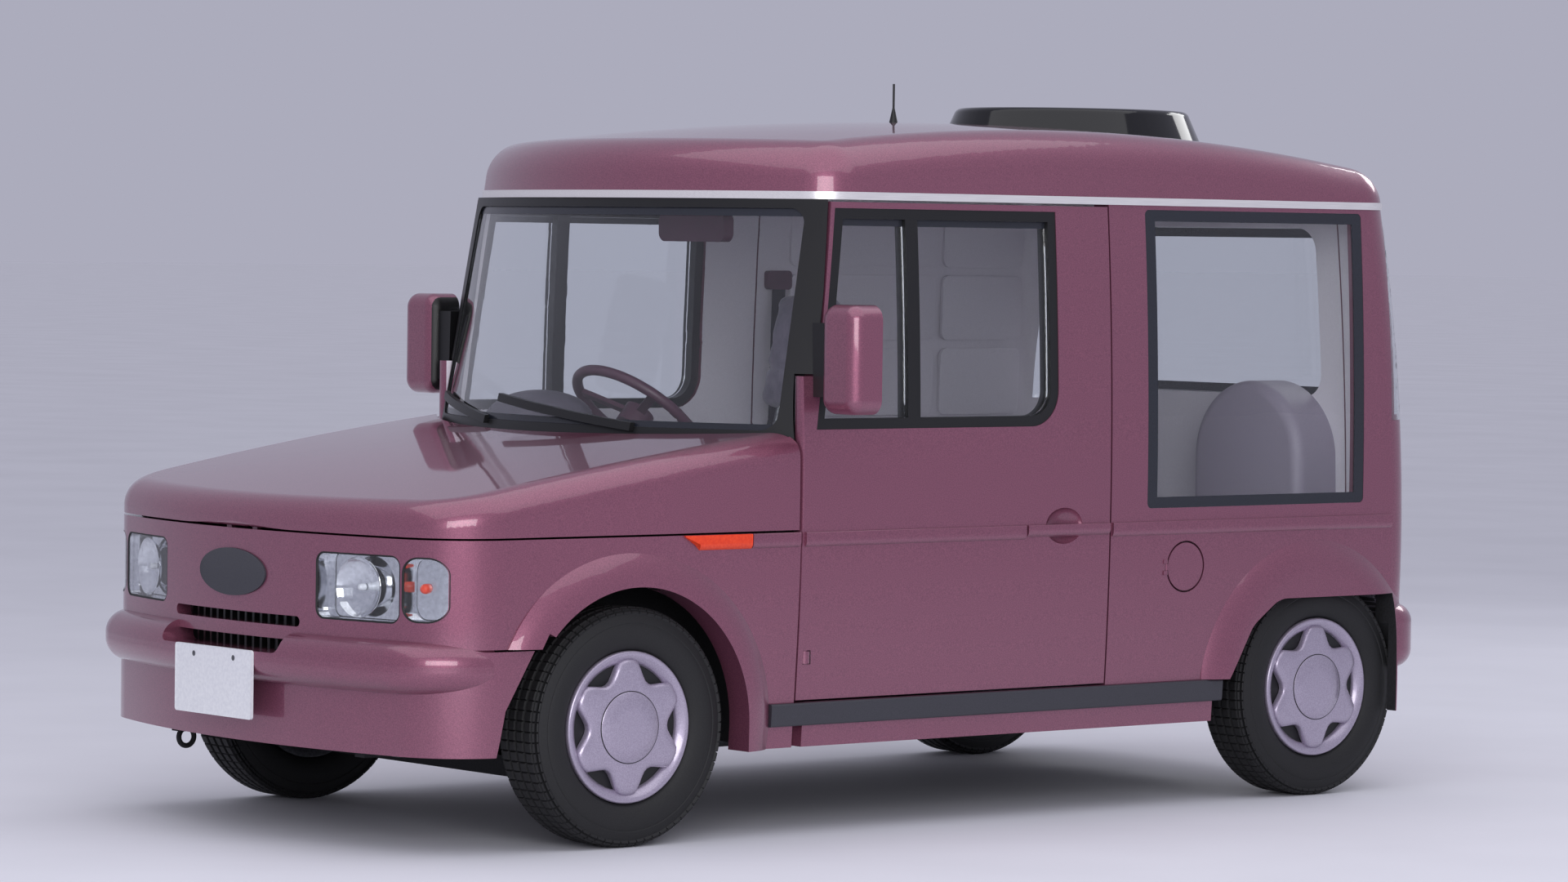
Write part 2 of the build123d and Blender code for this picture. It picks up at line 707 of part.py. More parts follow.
with BuildPart() as bonnet:
    add(bonnet_solid(0, 0, BONNET_EDGE_R))
    add(bonnet_solid(2 * BONNET_SKIN, BONNET_SKIN, 0), mode=Mode.SUBTRACT)
    add(cowl_block(SHUT_GAP, 0, 1200), mode=Mode.SUBTRACT)
    add(screen_solid(-2 * SHUT_GAP, COWL_BOTTOM_Z, TRIM_Z), mode=Mode.SUBTRACT)
    cutter = hinge_post(DOOR_NOSE_R + SHUT_GAP, 0, 1200)
    add(cutter, mode=Mode.SUBTRACT)
    add(mirrored(cutter), mode=Mode.SUBTRACT)
    # the middle of the front lip is round about the hinge line
    with BuildSketch(Plane.YZ.offset(-NOSE_CORNER_X)):
        with BuildLine():
            bend = BONNET_HINGE_R * math.sqrt(0.5)
            ThreePointArc((NOSE_Y, LID_Z), (LID_Y - bend, LID_Z - bend), (LID_Y, BONNET_BOTTOM_Z))
            Polyline(
                (LID_Y, BONNET_BOTTOM_Z), (LID_Y, BELT_Z), (2 * NOSE_Y, BELT_Z), (2 * NOSE_Y, LID_Z),
                (NOSE_Y, LID_Z)
            )
        make_face()
    extrude(amount=2 * NOSE_CORNER_X, mode=Mode.SUBTRACT)
    for middle in (-BONNET_HINGE_X, BONNET_HINGE_X):
        half = BONNET_HINGE_HALF + HINGE_SLACK
        left, right = middle - half, middle + half
        add(block((left, LID_Y, BELT_Z), (right, LID_Y + 42, LID_Z + 14)), mode=Mode.SUBTRACT)
        # room below the eye for its bracket when the bonnet is open
        add(block((left, LID_Y - BONNET_EYE_R - 1, BELT_Z), (right, LID_Y, LID_Z)), mode=Mode.SUBTRACT)
        with Locations(Location((middle, LID_Y, LID_Z), (0, 90, 0))):
            Cylinder(BONNET_EYE_R + 1, 2 * half, mode=Mode.SUBTRACT)
            Cylinder(BONNET_PIN_R, 2 * half + 8)
write(bonnet.part, "bonnet")

# Windscreen surround: pillars, header and cowl in one black moulding
def screen_opening(inset):
    """Face of the windscreen opening, seen from the front."""
    low_half, high_half = (half - inset for half in SCREEN_OPENING_HALF)
    low, high = SCREEN_SILL_Z + inset, SCREEN_HEADER_Z - inset
    with BuildSketch(side_frame(0)) as opening:
        with BuildLine():
            Polyline((-low_half, low), (low_half, low), (high_half, high), (-high_half, high), close=True)
        make_face()
        fillet(opening.vertices(), 40)
    return opening.sketch


def pillar_back(gap):
    """What lies behind the windscreen pillars' rear edges."""
    low, high = COWL_BOTTOM_Z - 50, TRIM_Z + 50
    outline = ((pillar_y(low) - gap, low), (pillar_y(high) - gap, high), (BEYOND, high), (BEYOND, low))
    return side_prism(outline, -BEYOND, BEYOND)


with BuildPart() as screen_back:
    add(screen_solid(PILLAR, COWL_TOP_Z, TRIM_Z))
    add(body_solid(PILLAR, CABIN_FRONT), mode=Mode.INTERSECT)
with BuildPart() as windscreen_frame:
    add(screen_solid(0, COWL_TOP_Z, TRIM_Z))
    add(outer, mode=Mode.INTERSECT)
    add(screen_back.part, mode=Mode.SUBTRACT)
    add(pillar_back(SHUT_GAP), mode=Mode.SUBTRACT)
    with BuildSketch(side_frame(0)):
        add(screen_opening(0))
    extrude(amount=1000, mode=Mode.SUBTRACT)
    add(cowl_block(0, COWL_BOTTOM_Z, COWL_TOP_Z))
    add(block((-BEYOND, BULKHEAD_Y, 0), (BEYOND, BEYOND, COWL_TOP_Z)), mode=Mode.SUBTRACT)
    cutter = hinge_post(DOOR_NOSE_R + SHUT_GAP, 0, DOOR_NOSE_TOP_Z + SHUT_GAP)
    add(cutter, mode=Mode.SUBTRACT)
    add(mirrored(cutter), mode=Mode.SUBTRACT)
write(windscreen_frame.part, "windscreen_frame")

with BuildPart() as windscreen:
    with BuildSketch(side_frame(0)):
        add(screen_opening(SEAT_GAP))
    extrude(amount=1000)
    add(screen_solid(GLASS, COWL_TOP_Z, TRIM_Z), mode=Mode.INTERSECT)
    add(screen_solid(2 * GLASS, COWL_TOP_Z, TRIM_Z), mode=Mode.SUBTRACT)
write(windscreen.part, "windscreen")


# Roof: a crowned lid with a wide soft edge, like the crown of a hat
def crown_plan(inset):
    """Plan of the body at the roof trim, moved in by the inset."""
    half, corner_y, centre_y = SCREEN_LEVELS[1][1:]
    corner_y += (half - TRIM_HALF) * (corner_y - centre_y) / half * 2
    with BuildSketch() as plan:
        with BuildLine():
            ThreePointArc((-TRIM_HALF, corner_y), (0, centre_y), (TRIM_HALF, corner_y))
            Polyline(
                (TRIM_HALF, corner_y), (TRIM_HALF, TRIM_REAR_Y), (-TRIM_HALF, TRIM_REAR_Y),
                (-TRIM_HALF, corner_y)
            )
        make_face()
        fillet(plan.vertices().filter_by(lambda v: v.Y > 0), BODY_LEVELS[2][3])
        fillet(plan.vertices().filter_by(lambda v: v.Y < 0), SCREEN_TOP_CORNER_R)
        if inset:
            offset(amount=-inset)
    return plan.sketch


def roof_crown(inset):
    """What lies under the roof's crowned top, which turns about an axis far below the car."""
    sweep = math.radians(ROOF_SWEEP)
    pivot = (0, ROOF_CREST_Y, ROOF_CREST_Z - ROOF_LENGTH_R)
    start = Plane(origin=pivot, x_dir=(1, 0, 0), z_dir=(0, -math.cos(sweep), -math.sin(sweep)))
    top = ROOF_LENGTH_R - inset
    edge = top - CROWN_HALF**2 / (2 * ROOF_CROWN_R)
    base = ROOF_LENGTH_R - 500
    with BuildPart() as crown:
        with BuildSketch(start):
            with BuildLine():
                ThreePointArc((-CROWN_HALF, edge), (0, top), (CROWN_HALF, edge))
                Polyline((CROWN_HALF, edge), (CROWN_HALF, base), (-CROWN_HALF, base), (-CROWN_HALF, edge))
            make_face()
        revolve(axis=Axis(pivot, (-1, 0, 0)), revolution_arc=2 * ROOF_SWEEP)
    return crown.part


def roof_solid(side_inset, top_inset, edge_r):
    """The closed roof above its trim with its sides and top moved in, and its top edge rounded."""
    with BuildPart() as roof:
        with BuildSketch(Plane.XY.offset(ROOF_Z)):
            add(crown_plan(side_inset))
        extrude(amount=300, taper=ROOF_LEAN)
        add(roof_crown(top_inset), mode=Mode.INTERSECT)
        if edge_r:
            fillet(roof.edges().filter_by(lambda e: e.bounding_box().min.Z > ROOF_Z + 30), edge_r)
    return roof.part


roof_outer = roof_solid(0, 0, ROOF_EDGE_R)
with BuildPart() as roof:
    add(roof_outer)
    add(roof_solid(2 * ROOF_SKIN, ROOF_SKIN, 0), mode=Mode.SUBTRACT)
write(roof.part, "roof")

# Bright strip between body and roof
with BuildPart() as roof_trim:
    with BuildSketch(Plane.XY.offset(TRIM_Z)):
        add(crown_plan(-TRIM_PROUD))
        add(crown_plan(WALL), mode=Mode.SUBTRACT)
    extrude(amount=TRIM_HEIGHT)
write(roof_trim.part, "roof_trim")

# Dark observation dome with a flat rim, seated on the roof
dome_x, dome_y, dome_station, dome_z = DOME
with BuildPart() as roof_dome:
    with BuildSketch(Plane.XY.offset(ROOF_CREST_Z - 60)):
        with Locations((0, dome_station)):
            Ellipse(dome_x, dome_y)
    extrude(amount=dome_z - ROOF_CREST_Z + 60, taper=DOME_LEAN)
    fillet(roof_dome.faces().sort_by(Axis.Z)[-1].edges(), DOME_EDGE_R)
    add(roof_outer, mode=Mode.SUBTRACT)
write(roof_dome.part, "roof_dome")

with BuildPart() as antenna:
    antenna_low = ROOF_CREST_Z - 20
    with Locations((0, ANTENNA_Y, antenna_low)):
        Cone(ANTENNA_BASE_R, ANTENNA_R, 60, align=(Align.CENTER, Align.CENTER, Align.MIN))
        Cylinder(ANTENNA_R, ANTENNA_TIP_Z - antenna_low, align=(Align.CENTER, Align.CENTER, Align.MIN))
    add(roof_outer, mode=Mode.SUBTRACT)
write(antenna.part, "antenna")


def window_hole(inset):
    """Cutter for the left quarter window."""
    front, back, low, high = QUARTER_WINDOW
    with BuildPart() as hole:
        with BuildSketch(Plane.YZ.offset(500)):
            with Locations(((front + back) / 2, (low + high) / 2)):
                RectangleRounded(back - front - 2 * inset, high - low - 2 * inset, 14)
        extrude(amount=400)
    return hole.part


def flap_disc(radius, low_x):
    """Round cutter on the fuel flap's axis, from a depth outwards."""
    with BuildPart() as disc:
        with BuildSketch(Plane.YZ.offset(low_x)):
            with Locations((FLAP_Y, FLAP_Z)):
                Circle(radius)
        extrude(amount=BEYOND - low_x)
    return disc.part


# The fuel flap's hinge line lies just outside the skin, ahead of the flap
FLAP_SKIN_X = BODY_LEVELS[0][1] + (FLAP_Z - FLOOR_Z) / (BELT_Z - FLOOR_Z) * (BELT_HALF - BODY_LEVELS[0][1])
FLAP_HINGE = (FLAP_SKIN_X + 1.5, FLAP_Y - FLAP_R - 4.5, FLAP_Z)

# Rear quarters: side wall and rear corner, with flare, lamp pocket and corner window
with BuildPart() as rear_flare:
    add(flare(REAR_FLARE_Y, REAR_FLARE_Z, REAR_FLARE_R))
    add(block((0, 0, FLOOR_Z), (BEYOND, 1620, BELT_Z - 20)), mode=Mode.INTERSECT)
    bumper_room = (BEYOND, BEHIND_Y, REAR_BUMPER_Z[1] + SEAT_GAP)
    add(block((0, REAR_BUMPER_END_Y - SEAT_GAP, 0), bumper_room), mode=Mode.SUBTRACT)


def corner_window(lap):
    """Block round the left rear corner window, drawn in by the lap."""
    low = (TAILGATE_HALF + CORNER_GLASS_IN + lap, CORNER_GLASS_Y + lap, CORNER_GLASS_Z[0] + lap)
    return block(low, (BEYOND, BEHIND_Y, CORNER_GLASS_Z[1] - lap))


with BuildPart() as corner_glass:
    add(corner_window(0))
    add(outer, mode=Mode.INTERSECT)
    add(body_solid(GLASS, CABIN_FRONT), mode=Mode.SUBTRACT)
with BuildPart() as corner_recess:
    add(corner_window(0))
    add(body_solid(GLASS + SEAT_GAP, CABIN_FRONT), mode=Mode.SUBTRACT)


def lamp_block(gap):
    """Block with the left rear lamp's outline, drawn in by the gap."""
    low, high = REAR_LAMP_Z
    with BuildPart() as lamp:
        with BuildSketch(side_frame(BEHIND_Y)):
            with Locations((REAR_LAMP_X, (low + high) / 2)):
                RectangleRounded(2 * (REAR_LAMP_HALF - gap), high - low - 2 * gap, REAR_LAMP_R - gap)
        extrude(amount=250)
    return lamp.part


with BuildPart() as quarter_blank:
    add(walls)
    quarter_low = (TAILGATE_HALF + SHUT_GAP, DOOR_BACK_Y + SHUT_GAP, FLOOR_Z)
    add(block(quarter_low, (BEYOND, BEHIND_Y, TRIM_Z)), mode=Mode.INTERSECT)
    add(rear_flare.part)
    add(block((0, 0, 0), (BEYOND, REAR_FLARE_Y, ROCKER_TOP_Z)), mode=Mode.SUBTRACT)
    add(rear_arch.part, mode=Mode.SUBTRACT)
    wheel_side = HALF_TRACK + TYRE_HALF_WIDTH + SHUT_GAP
    add(axle_post(TYRE_R + WHEEL_ROOM, 0, wheel_side, REAR_AXLE_Y), mode=Mode.SUBTRACT)
    add(corner_recess.part, mode=Mode.SUBTRACT)
    add(corner_window(CORNER_GLASS_LAP), mode=Mode.SUBTRACT)
    add(lamp_block(0), mode=Mode.SUBTRACT)
    hinge_z = TAILGATE_Z[1] - TAILGATE_HINGE_R
    with Locations(Location((TAILGATE_HALF, TAILGATE_HINGE_Y, hinge_z), (0, 90, 0))):
        Cylinder(TAILGATE_PIN_R + RUNNING_FIT, 2 * TAILGATE_PIN_REACH, mode=Mode.SUBTRACT)
write(mirrored(quarter_blank.part), "rear_quarter_right")
with BuildPart() as rear_quarter_left:
    add(quarter_blank.part)
    add(window_hole(0), mode=Mode.SUBTRACT)
    add(flap_disc(FLAP_R + SHUT_GAP, BELT_HALF - FLAP_POCKET), mode=Mode.SUBTRACT)
    with Locations(FLAP_HINGE):
        Cylinder(FLAP_BARREL_R + 1, 2 * FLAP_SLEEVE + 3, mode=Mode.SUBTRACT)
        Cylinder(FLAP_PIN_R, 2 * FLAP_HINGE_HALF)
    for side in (-1, 1):
        middle = FLAP_Z + side * (FLAP_SLEEVE + 1 + FLAP_HINGE_HALF) / 2
        with Locations((FLAP_HINGE[0], FLAP_HINGE[1], middle)):
            length = FLAP_HINGE_HALF - FLAP_SLEEVE - 1
            Cylinder(FLAP_BARREL_R, length)
            Box(2 * FLAP_BARREL_R, 12, length, align=(Align.CENTER, Align.MAX, Align.CENTER))
write(rear_quarter_left.part, "rear_quarter_left")

with BuildPart() as rear_lamp:
    add(lamp_block(SEAT_GAP))
    add(body_solid(-3, CABIN_FRONT), mode=Mode.INTERSECT)
    add(body_solid(WALL - 20, CABIN_FRONT - 100), mode=Mode.SUBTRACT)
write(pair(rear_lamp.part), "rear_lamps")

with BuildPart() as quarter_glass:
    add(window_hole(SEAT_GAP))
    add(body_solid(1, CABIN_FRONT), mode=Mode.INTERSECT)
    add(body_solid(1 + GLASS, CABIN_FRONT - 100), mode=Mode.SUBTRACT)
side_glass = [quarter_glass.part, corner_glass.part, mirrored(corner_glass.part)]
write(Compound(children=side_glass), "rear_side_glass")

with BuildPart() as fuel_flap:
    add(flap_disc(FLAP_R, 600))
    add(outer, mode=Mode.INTERSECT)
    add(body_solid(FLAP_THICK, CABIN_FRONT - 100), mode=Mode.SUBTRACT)
    with Locations(FLAP_HINGE):
        Cylinder(FLAP_BARREL_R, 2 * FLAP_SLEEVE)
        Box(2 * FLAP_BARREL_R, 12, 2 * FLAP_SLEEVE, align=(Align.CENTER, Align.MIN, Align.CENTER))
        Cylinder(FLAP_PIN_R + RUNNING_FIT, 2 * FLAP_SLEEVE, mode=Mode.SUBTRACT)
write(fuel_flap.part, "fuel_flap")

# Tailgate with its window cut, turning on a round top edge
tail_low, tail_high = TAILGATE_Z
hinge_y = TAILGATE_HINGE_Y
with BuildPart() as tailgate_roll:
    with Locations(Location((0, hinge_y, hinge_z), (0, 90, 0))):
        Cylinder(TAILGATE_HINGE_R, 2 * TAILGATE_HALF)
    add(outer, mode=Mode.INTERSECT)
with BuildPart() as tailgate:
    add(walls)
    gate_high = (TAILGATE_HALF, BEHIND_Y, hinge_z)
    add(block((-TAILGATE_HALF, GATE_FRONT_Y, tail_low), gate_high), mode=Mode.INTERSECT)
    add(tailgate_roll.part)
    with Locations(Location((0, hinge_y, hinge_z), (0, 90, 0))):
        Cylinder(TAILGATE_PIN_R, 2 * (TAILGATE_HALF + TAILGATE_PIN_REACH - SEAT_GAP))
    window_half, window_low, window_high = TAILGATE_WINDOW
    with BuildSketch(side_frame(BEHIND_Y)):
        with Locations((0, (window_low + window_high) / 2)):
            RectangleRounded(2 * window_half, window_high - window_low, TAILGATE_WINDOW_R)
    extrude(amount=400, mode=Mode.SUBTRACT)
write(tailgate.part, "tailgate")

with BuildPart() as tailgate_glass:
    with BuildSketch(side_frame(BEHIND_Y)):
        with Locations((0, (window_low + window_high) / 2)):
            pane = (2 * (window_half - SEAT_GAP), window_high - window_low - 2 * SEAT_GAP)
            RectangleRounded(*pane, TAILGATE_WINDOW_R - SEAT_GAP)
    extrude(amount=400)
    add(body_solid(GLASS, CABIN_FRONT), mode=Mode.INTERSECT)
    add(body_solid(2 * GLASS, CABIN_FRONT - 100), mode=Mode.SUBTRACT)
write(tailgate_glass.part, "tailgate_glass")

# Arch-shaped spare wheel cover on the tailgate's inner face
spare_x, spare_r, spare_low, spare_depth = SPARE
with BuildPart() as spare_cover:
    with BuildSketch(side_frame(BEHIND_Y)):
        with Locations((spare_x, spare_low + (SPARE_TOP - spare_r - spare_low) / 2)):
            Rectangle(2 * spare_r, SPARE_TOP - spare_r - spare_low)
        with Locations((spare_x, SPARE_TOP - spare_r)):
            Circle(spare_r)
    extrude(amount=BEHIND_Y - (TRIM_REAR_Y - spare_depth))
    fillet(spare_cover.faces().sort_by(Axis.Y)[0].edges(), 30)
    add(body_solid(WALL + SEAT_GAP, CABIN_FRONT), mode=Mode.INTERSECT)
write(spare_cover.part, "spare_cover")

with BuildPart() as rear_panel:
    add(walls)
    panel_half = TAILGATE_HALF + SHUT_GAP - SEAT_GAP
    panel_high = (panel_half, BEHIND_Y, tail_low - SHUT_GAP)
    add(block((-panel_half, GATE_FRONT_Y, REAR_PANEL_Z), panel_high), mode=Mode.INTERSECT)
write(rear_panel.part, "rear_panel")

# Rockers under the doors and the dark mouldings on them
rocker_front = DOOR_HINGE_Y - SHUT_GAP + SEAT_GAP
with BuildPart() as rocker:
    add(walls)
    rocker_high = (BEYOND, REAR_FLARE_Y - 345, ROCKER_TOP_Z - SEAT_GAP)
    add(block((0, rocker_front, FLOOR_Z), rocker_high), mode=Mode.INTERSECT)
    add(rear_arch.part, mode=Mode.SUBTRACT)
write(pair(rocker.part), "rockers")
with BuildPart() as sill_moulding:
    add(body_solid(-MOULDING_PROUD, CABIN_FRONT))
    add(body_solid(0, CABIN_FRONT - 100), mode=Mode.SUBTRACT)
    moulding_low = (0, FRONT_AXLE_Y + FRONT_FLARE_R + SEAT_GAP, MOULDING_Z[0])
    add(block(moulding_low, (BEYOND, MOULDING_END_Y, MOULDING_Z[1])), mode=Mode.INTERSECT)
    add(rear_arch.part, mode=Mode.SUBTRACT)
    long_edges = sill_moulding.edges().filter_by(lambda e: e.length > 600)
    fillet(long_edges.filter_by(lambda e: e.center().X > BODY_LEVELS[0][1] + MOULDING_PROUD), MOULDING_EDGE_R)
write(pair(sill_moulding.part), "sill_mouldings")


# Bumpers: full round bars that fade into the body's corners
def front_bar():
    low, high = BUMPER_Z
    slope = math.degrees(math.asin(NOSE_CORNER_X / NOSE_ARC_R))
    corner_y = BUMPER_Y + NOSE_ARC_R * (1 - math.cos(math.radians(slope)))
    with BuildPart() as bar:
        with BuildSketch(Plane.XY.offset(low)):
            with BuildLine():
                ThreePointArc((-NOSE_CORNER_X, corner_y), (0, BUMPER_Y), (NOSE_CORNER_X, corner_y))
                RadiusArc((NOSE_CORNER_X, corner_y), (NOSE_SIDE_X, BUMPER_END_Y), -BUMPER_CORNER_R)
                Line((NOSE_SIDE_X, BUMPER_END_Y), (-NOSE_SIDE_X, BUMPER_END_Y))
                RadiusArc((-NOSE_CORNER_X, corner_y), (-NOSE_SIDE_X, BUMPER_END_Y), BUMPER_CORNER_R)
            make_face()
        extrude(amount=high - low)
        rim = bar.edges().filter_by(Axis.Z, reverse=True)
        fillet(rim.filter_by(lambda e: e.center().Y < BUMPER_END_Y - 30), BUMPER_EDGE_R)
    return bar.part


apron_low = nose_solid(-4, FLOOR_Z, BELT_Z)
with BuildPart() as front_bumper:
    add(apron_low)
    apron_high = (BEYOND, FRONT_ARCH_Y, APRON_TOP_Z - SHUT_GAP)
    add(block((-BEYOND, 2 * NOSE_Y, APRON_Z), apron_high), mode=Mode.INTERSECT)
    add(front_bar())
    add(nose_inner, mode=Mode.SUBTRACT)
    for cutter in (front_arch.part, mirrored(front_arch.part)):
        add(cutter, mode=Mode.SUBTRACT)
    above = block((-BEYOND, 2 * NOSE_Y, APRON_TOP_Z - SEAT_GAP), (BEYOND, NOSE_Y + BEYOND, BEYOND))
    add(above.intersect(nose_outer), mode=Mode.SUBTRACT)
    with BuildSketch(side_frame(NOSE_Y + 200)):
        with Locations((0, BUMPER_Z[1])):
            RectangleRounded(2 * INTAKE_HALF, 2 * INTAKE_DEPTH, 20)
    extrude(amount=400, mode=Mode.SUBTRACT)
    plate_half = PLATE_SIZE[0] / 2 + 2
    plate_top = PLATE_Z + PLATE_SIZE[1] / 2 + 2
    add(block((-plate_half, 2 * NOSE_Y, 0), (plate_half, PLATE_SEAT_Y, plate_top)), mode=Mode.SUBTRACT)
write(front_bumper.part, "front_bumper")

# Rear bumper, wrapped round the rear corners
with BuildPart() as rear_bumper:
    low, high = REAR_BUMPER_Z
    with BuildSketch(Plane.XY.offset(low)) as bar_plan:
        with BuildLine():
            Polyline(
                (-REAR_BUMPER_HALF, REAR_BUMPER_END_Y), (REAR_BUMPER_HALF, REAR_BUMPER_END_Y),
                (REAR_BUMPER_HALF, REAR_BUMPER_Y), (-REAR_BUMPER_HALF, REAR_BUMPER_Y), close=True
            )
        make_face()
        fillet(bar_plan.vertices().group_by(Axis.Y)[-1], REAR_BUMPER_CORNER_R)
    extrude(amount=high - low)
    rim = rear_bumper.edges().filter_by(Axis.Z, reverse=True)
    fillet(rim.filter_by(lambda e: e.center().Y > REAR_BUMPER_END_Y + 1), REAR_BUMPER_EDGE_R)
    add(body_solid(-SEAT_GAP, CABIN_FRONT), mode=Mode.SUBTRACT)
write(rear_bumper.part, "rear_bumper")

# Ribbed grille behind the intake and the slot above it
with BuildPart() as grille:
    add(nose_solid(SKIN + SEAT_GAP, GRILLE_Z[0], GRILLE_Z[1]))
    add(nose_solid(SKIN + GRILLE_DEPTH, GRILLE_Z[0] - 50, GRILLE_Z[1] + 50), mode=Mode.SUBTRACT)
    grille_high = (GRILLE_HALF, NOSE_Y + LAMP_REACH, BELT_Z)
    add(block((-GRILLE_HALF, 2 * NOSE_Y, 0), grille_high), mode=Mode.INTERSECT)
    with BuildSketch(side_frame(NOSE_Y + LAMP_REACH)):
        with Locations((0, sum(GRILLE_Z) / 2)):
            with GridLocations(GRILLE_PITCH, 0, GRILLE_RIBS, 1):
                Rectangle(GRILLE_PITCH - GRILLE_RIB, GRILLE_Z[1] - GRILLE_Z[0] - 2 * GRILLE_RIB)
    extrude(amount=400, mode=Mode.SUBTRACT)
write(grille.part, "grille")

# Blank number plate on its seat in the bumper, and the blank oval badge on the nose
with BuildPart() as plate:
    wide, tall = PLATE_SIZE
    with BuildSketch(side_frame(PLATE_SEAT_Y - SEAT_GAP)):
        with Locations((0, PLATE_Z)):
            RectangleRounded(wide, tall, 8)
    extrude(amount=PLATE_THICK)
with BuildPart() as badge:
    with BuildSketch(side_frame(NOSE_Y + LAMP_REACH)):
        with Locations((0, BADGE_Z)):
            Ellipse(*BADGE_HALF)
    extrude(amount=400)
    add(nose_solid(-BADGE_PROUD, FLOOR_Z, BELT_Z), mode=Mode.INTERSECT)
    add(nose_solid(-SEAT_GAP, FLOOR_Z - 50, BELT_Z + 50), mode=Mode.SUBTRACT)
write(Compound(children=[plate.part, badge.part]), "front_plates")


def hinge_arm(low, high):
    """Door hinge arm from the bulkhead to the left hinge axis, without its bore."""
    elbow = DOOR_HINGE_X - 2 * WALL + 64
    with BuildPart() as arm:
        back = DOOR_HINGE_Y + HINGE_ARM_BACK
        add(block((elbow - HINGE_ARM, BULKHEAD_Y - 5, low), (elbow, back, high)))
        add(block((elbow - HINGE_ARM, DOOR_HINGE_Y - HINGE_ARM_FRONT, low), (DOOR_HINGE_X, back, high)))
        add(hinge_post(HINGE_EYE_R, low, high))
        add(hinge_post(HINGE_PIN_R + RUNNING_FIT, low, high), mode=Mode.SUBTRACT)
    return arm.part


def kingpin_post(radius, low, high):
    """A round post along the left wheel's steering axis, between two heights."""
    (x_low, z_low), (x_high, z_high) = KINGPIN_LOW, KINGPIN_HIGH
    slope = (x_high - x_low) / (z_high - z_low)
    start = (x_low + slope * (low - z_low), FRONT_AXLE_Y, low)
    with BuildPart() as post:
        with BuildSketch(Plane(origin=start, x_dir=(0, 1, 0), z_dir=(slope, 0, 1))):
            Circle(radius)
        extrude(amount=(high - low) * math.hypot(slope, 1))
    return post.part


# Engine bay: bulkhead, inner wings, rails, strut towers and door hinge arms
with BuildPart() as bay_side:
    tower_low, tower_high = TOWER_Z
    add(block((WING_X[0], WING_Y[0], RAIL_Z), (WING_X[1], BULKHEAD_Y - 20, tower_high)))
    add(block((RAIL_X[0], WING_Y[0], FLOOR_Z), (RAIL_X[1], BULKHEAD_Y - 20, RAIL_Z)))
    tower_front, tower_back = FRONT_AXLE_Y - TOWER_HALF, FRONT_AXLE_Y + TOWER_HALF
    add(block((WING_X[0], tower_front, tower_low), (TOWER_X, tower_back, tower_high)))
    add(kingpin_post(STRUT_R + RUNNING_FIT, tower_low - 50, tower_high + 50), mode=Mode.SUBTRACT)
    for low, high in HINGE_ARMS:
        add(hinge_arm(low, high))
with BuildPart() as bulkhead:
    add(block((-BEYOND, BULKHEAD_Y - BULKHEAD, FLOOR_Z), (BEYOND, BULKHEAD_Y, BELT_Z - 2)))
    add(nose_solid(SKIN + SEAT_GAP, FLOOR_Z, BELT_Z), mode=Mode.INTERSECT)
with BuildPart() as engine_bay:
    add(bulkhead.part)
    cowl_foot = (BULKHEAD_HALF, BULKHEAD_Y, COWL_BOTTOM_Z - SEAT_GAP)
    add(block((-BULKHEAD_HALF, BULKHEAD_Y - BULKHEAD, BELT_Z - 10), cowl_foot))
    add(bay_side.part)
    add(mirrored(bay_side.part))
    loop_z = FLOOR_Z - TOW_LOOP[0] + TOW_LOOP[1]
    with Locations(Location((-sum(RAIL_X) / 2, WING_Y[0] + 30, loop_z), (0, 90, 0))):
        Torus(*TOW_LOOP)
write(engine_bay.part, "engine_bay")

# Floor pan with its rear step and load floor, and the tubs over the rear wheels
with BuildPart() as floor_pan:
    add(block((-BEYOND, BULKHEAD_Y + SEAT_GAP, FLOOR_Z), (BEYOND, STEP_Y, FLOOR_Z + FLOOR)))
    add(block((-BEYOND, STEP_Y - FLOOR, FLOOR_Z), (BEYOND, STEP_Y, STEP_Z + FLOOR)))
    load_half = TUB_X - TUB_WALL - SEAT_GAP
    add(block((-load_half, STEP_Y - FLOOR, STEP_Z), (load_half, BEHIND_Y, STEP_Z + FLOOR)))
    add(body_solid(WALL + SEAT_GAP, CABIN_FRONT), mode=Mode.INTERSECT)
write(floor_pan.part, "floor_pan")
with BuildPart() as wheel_tub:
    add(axle_post(TUB_R + TUB_WALL, TUB_X - TUB_WALL, BELT_HALF, REAR_AXLE_Y))
    add(axle_post(TUB_R, TUB_X, BELT_HALF, REAR_AXLE_Y), mode=Mode.SUBTRACT)
    add(body_solid(WALL + SEAT_GAP, CABIN_FRONT), mode=Mode.INTERSECT)
    add(block((0, 0, STEP_Z), (BEYOND, BEHIND_Y, BELT_Z)), mode=Mode.INTERSECT)
write(pair(wheel_tub.part), "wheel_tubs")

# Front suspension: cross member with lower arms, and a knuckle with its strut on each side
with BuildPart() as front_arm:
    arm_high = (KINGPIN_LOW[0], FRONT_AXLE_Y + ARM_HALF, SUBFRAME_Z[0] + 20)
    add(block((0, FRONT_AXLE_Y - ARM_HALF, SUBFRAME_Z[0]), arm_high))
    add(kingpin_post(STRUT_R + 12, SUBFRAME_Z[0], SUBFRAME_Z[0] + 28))
    add(block((RAIL_X[0], SUBFRAME_Y[0], SUBFRAME_Z[0]), (RAIL_X[1], SUBFRAME_Y[1], FLOOR_Z - SEAT_GAP)))
    add(kingpin_post(STRUT_R + RUNNING_FIT, 0, SUBFRAME_Z[1] + 100), mode=Mode.SUBTRACT)
with BuildPart() as front_subframe:
    add(block((-RAIL_X[1], SUBFRAME_Y[0], SUBFRAME_Z[0]), (RAIL_X[1], SUBFRAME_Y[1], SUBFRAME_Z[1])))
    add(front_arm.part)
    add(mirrored(front_arm.part))
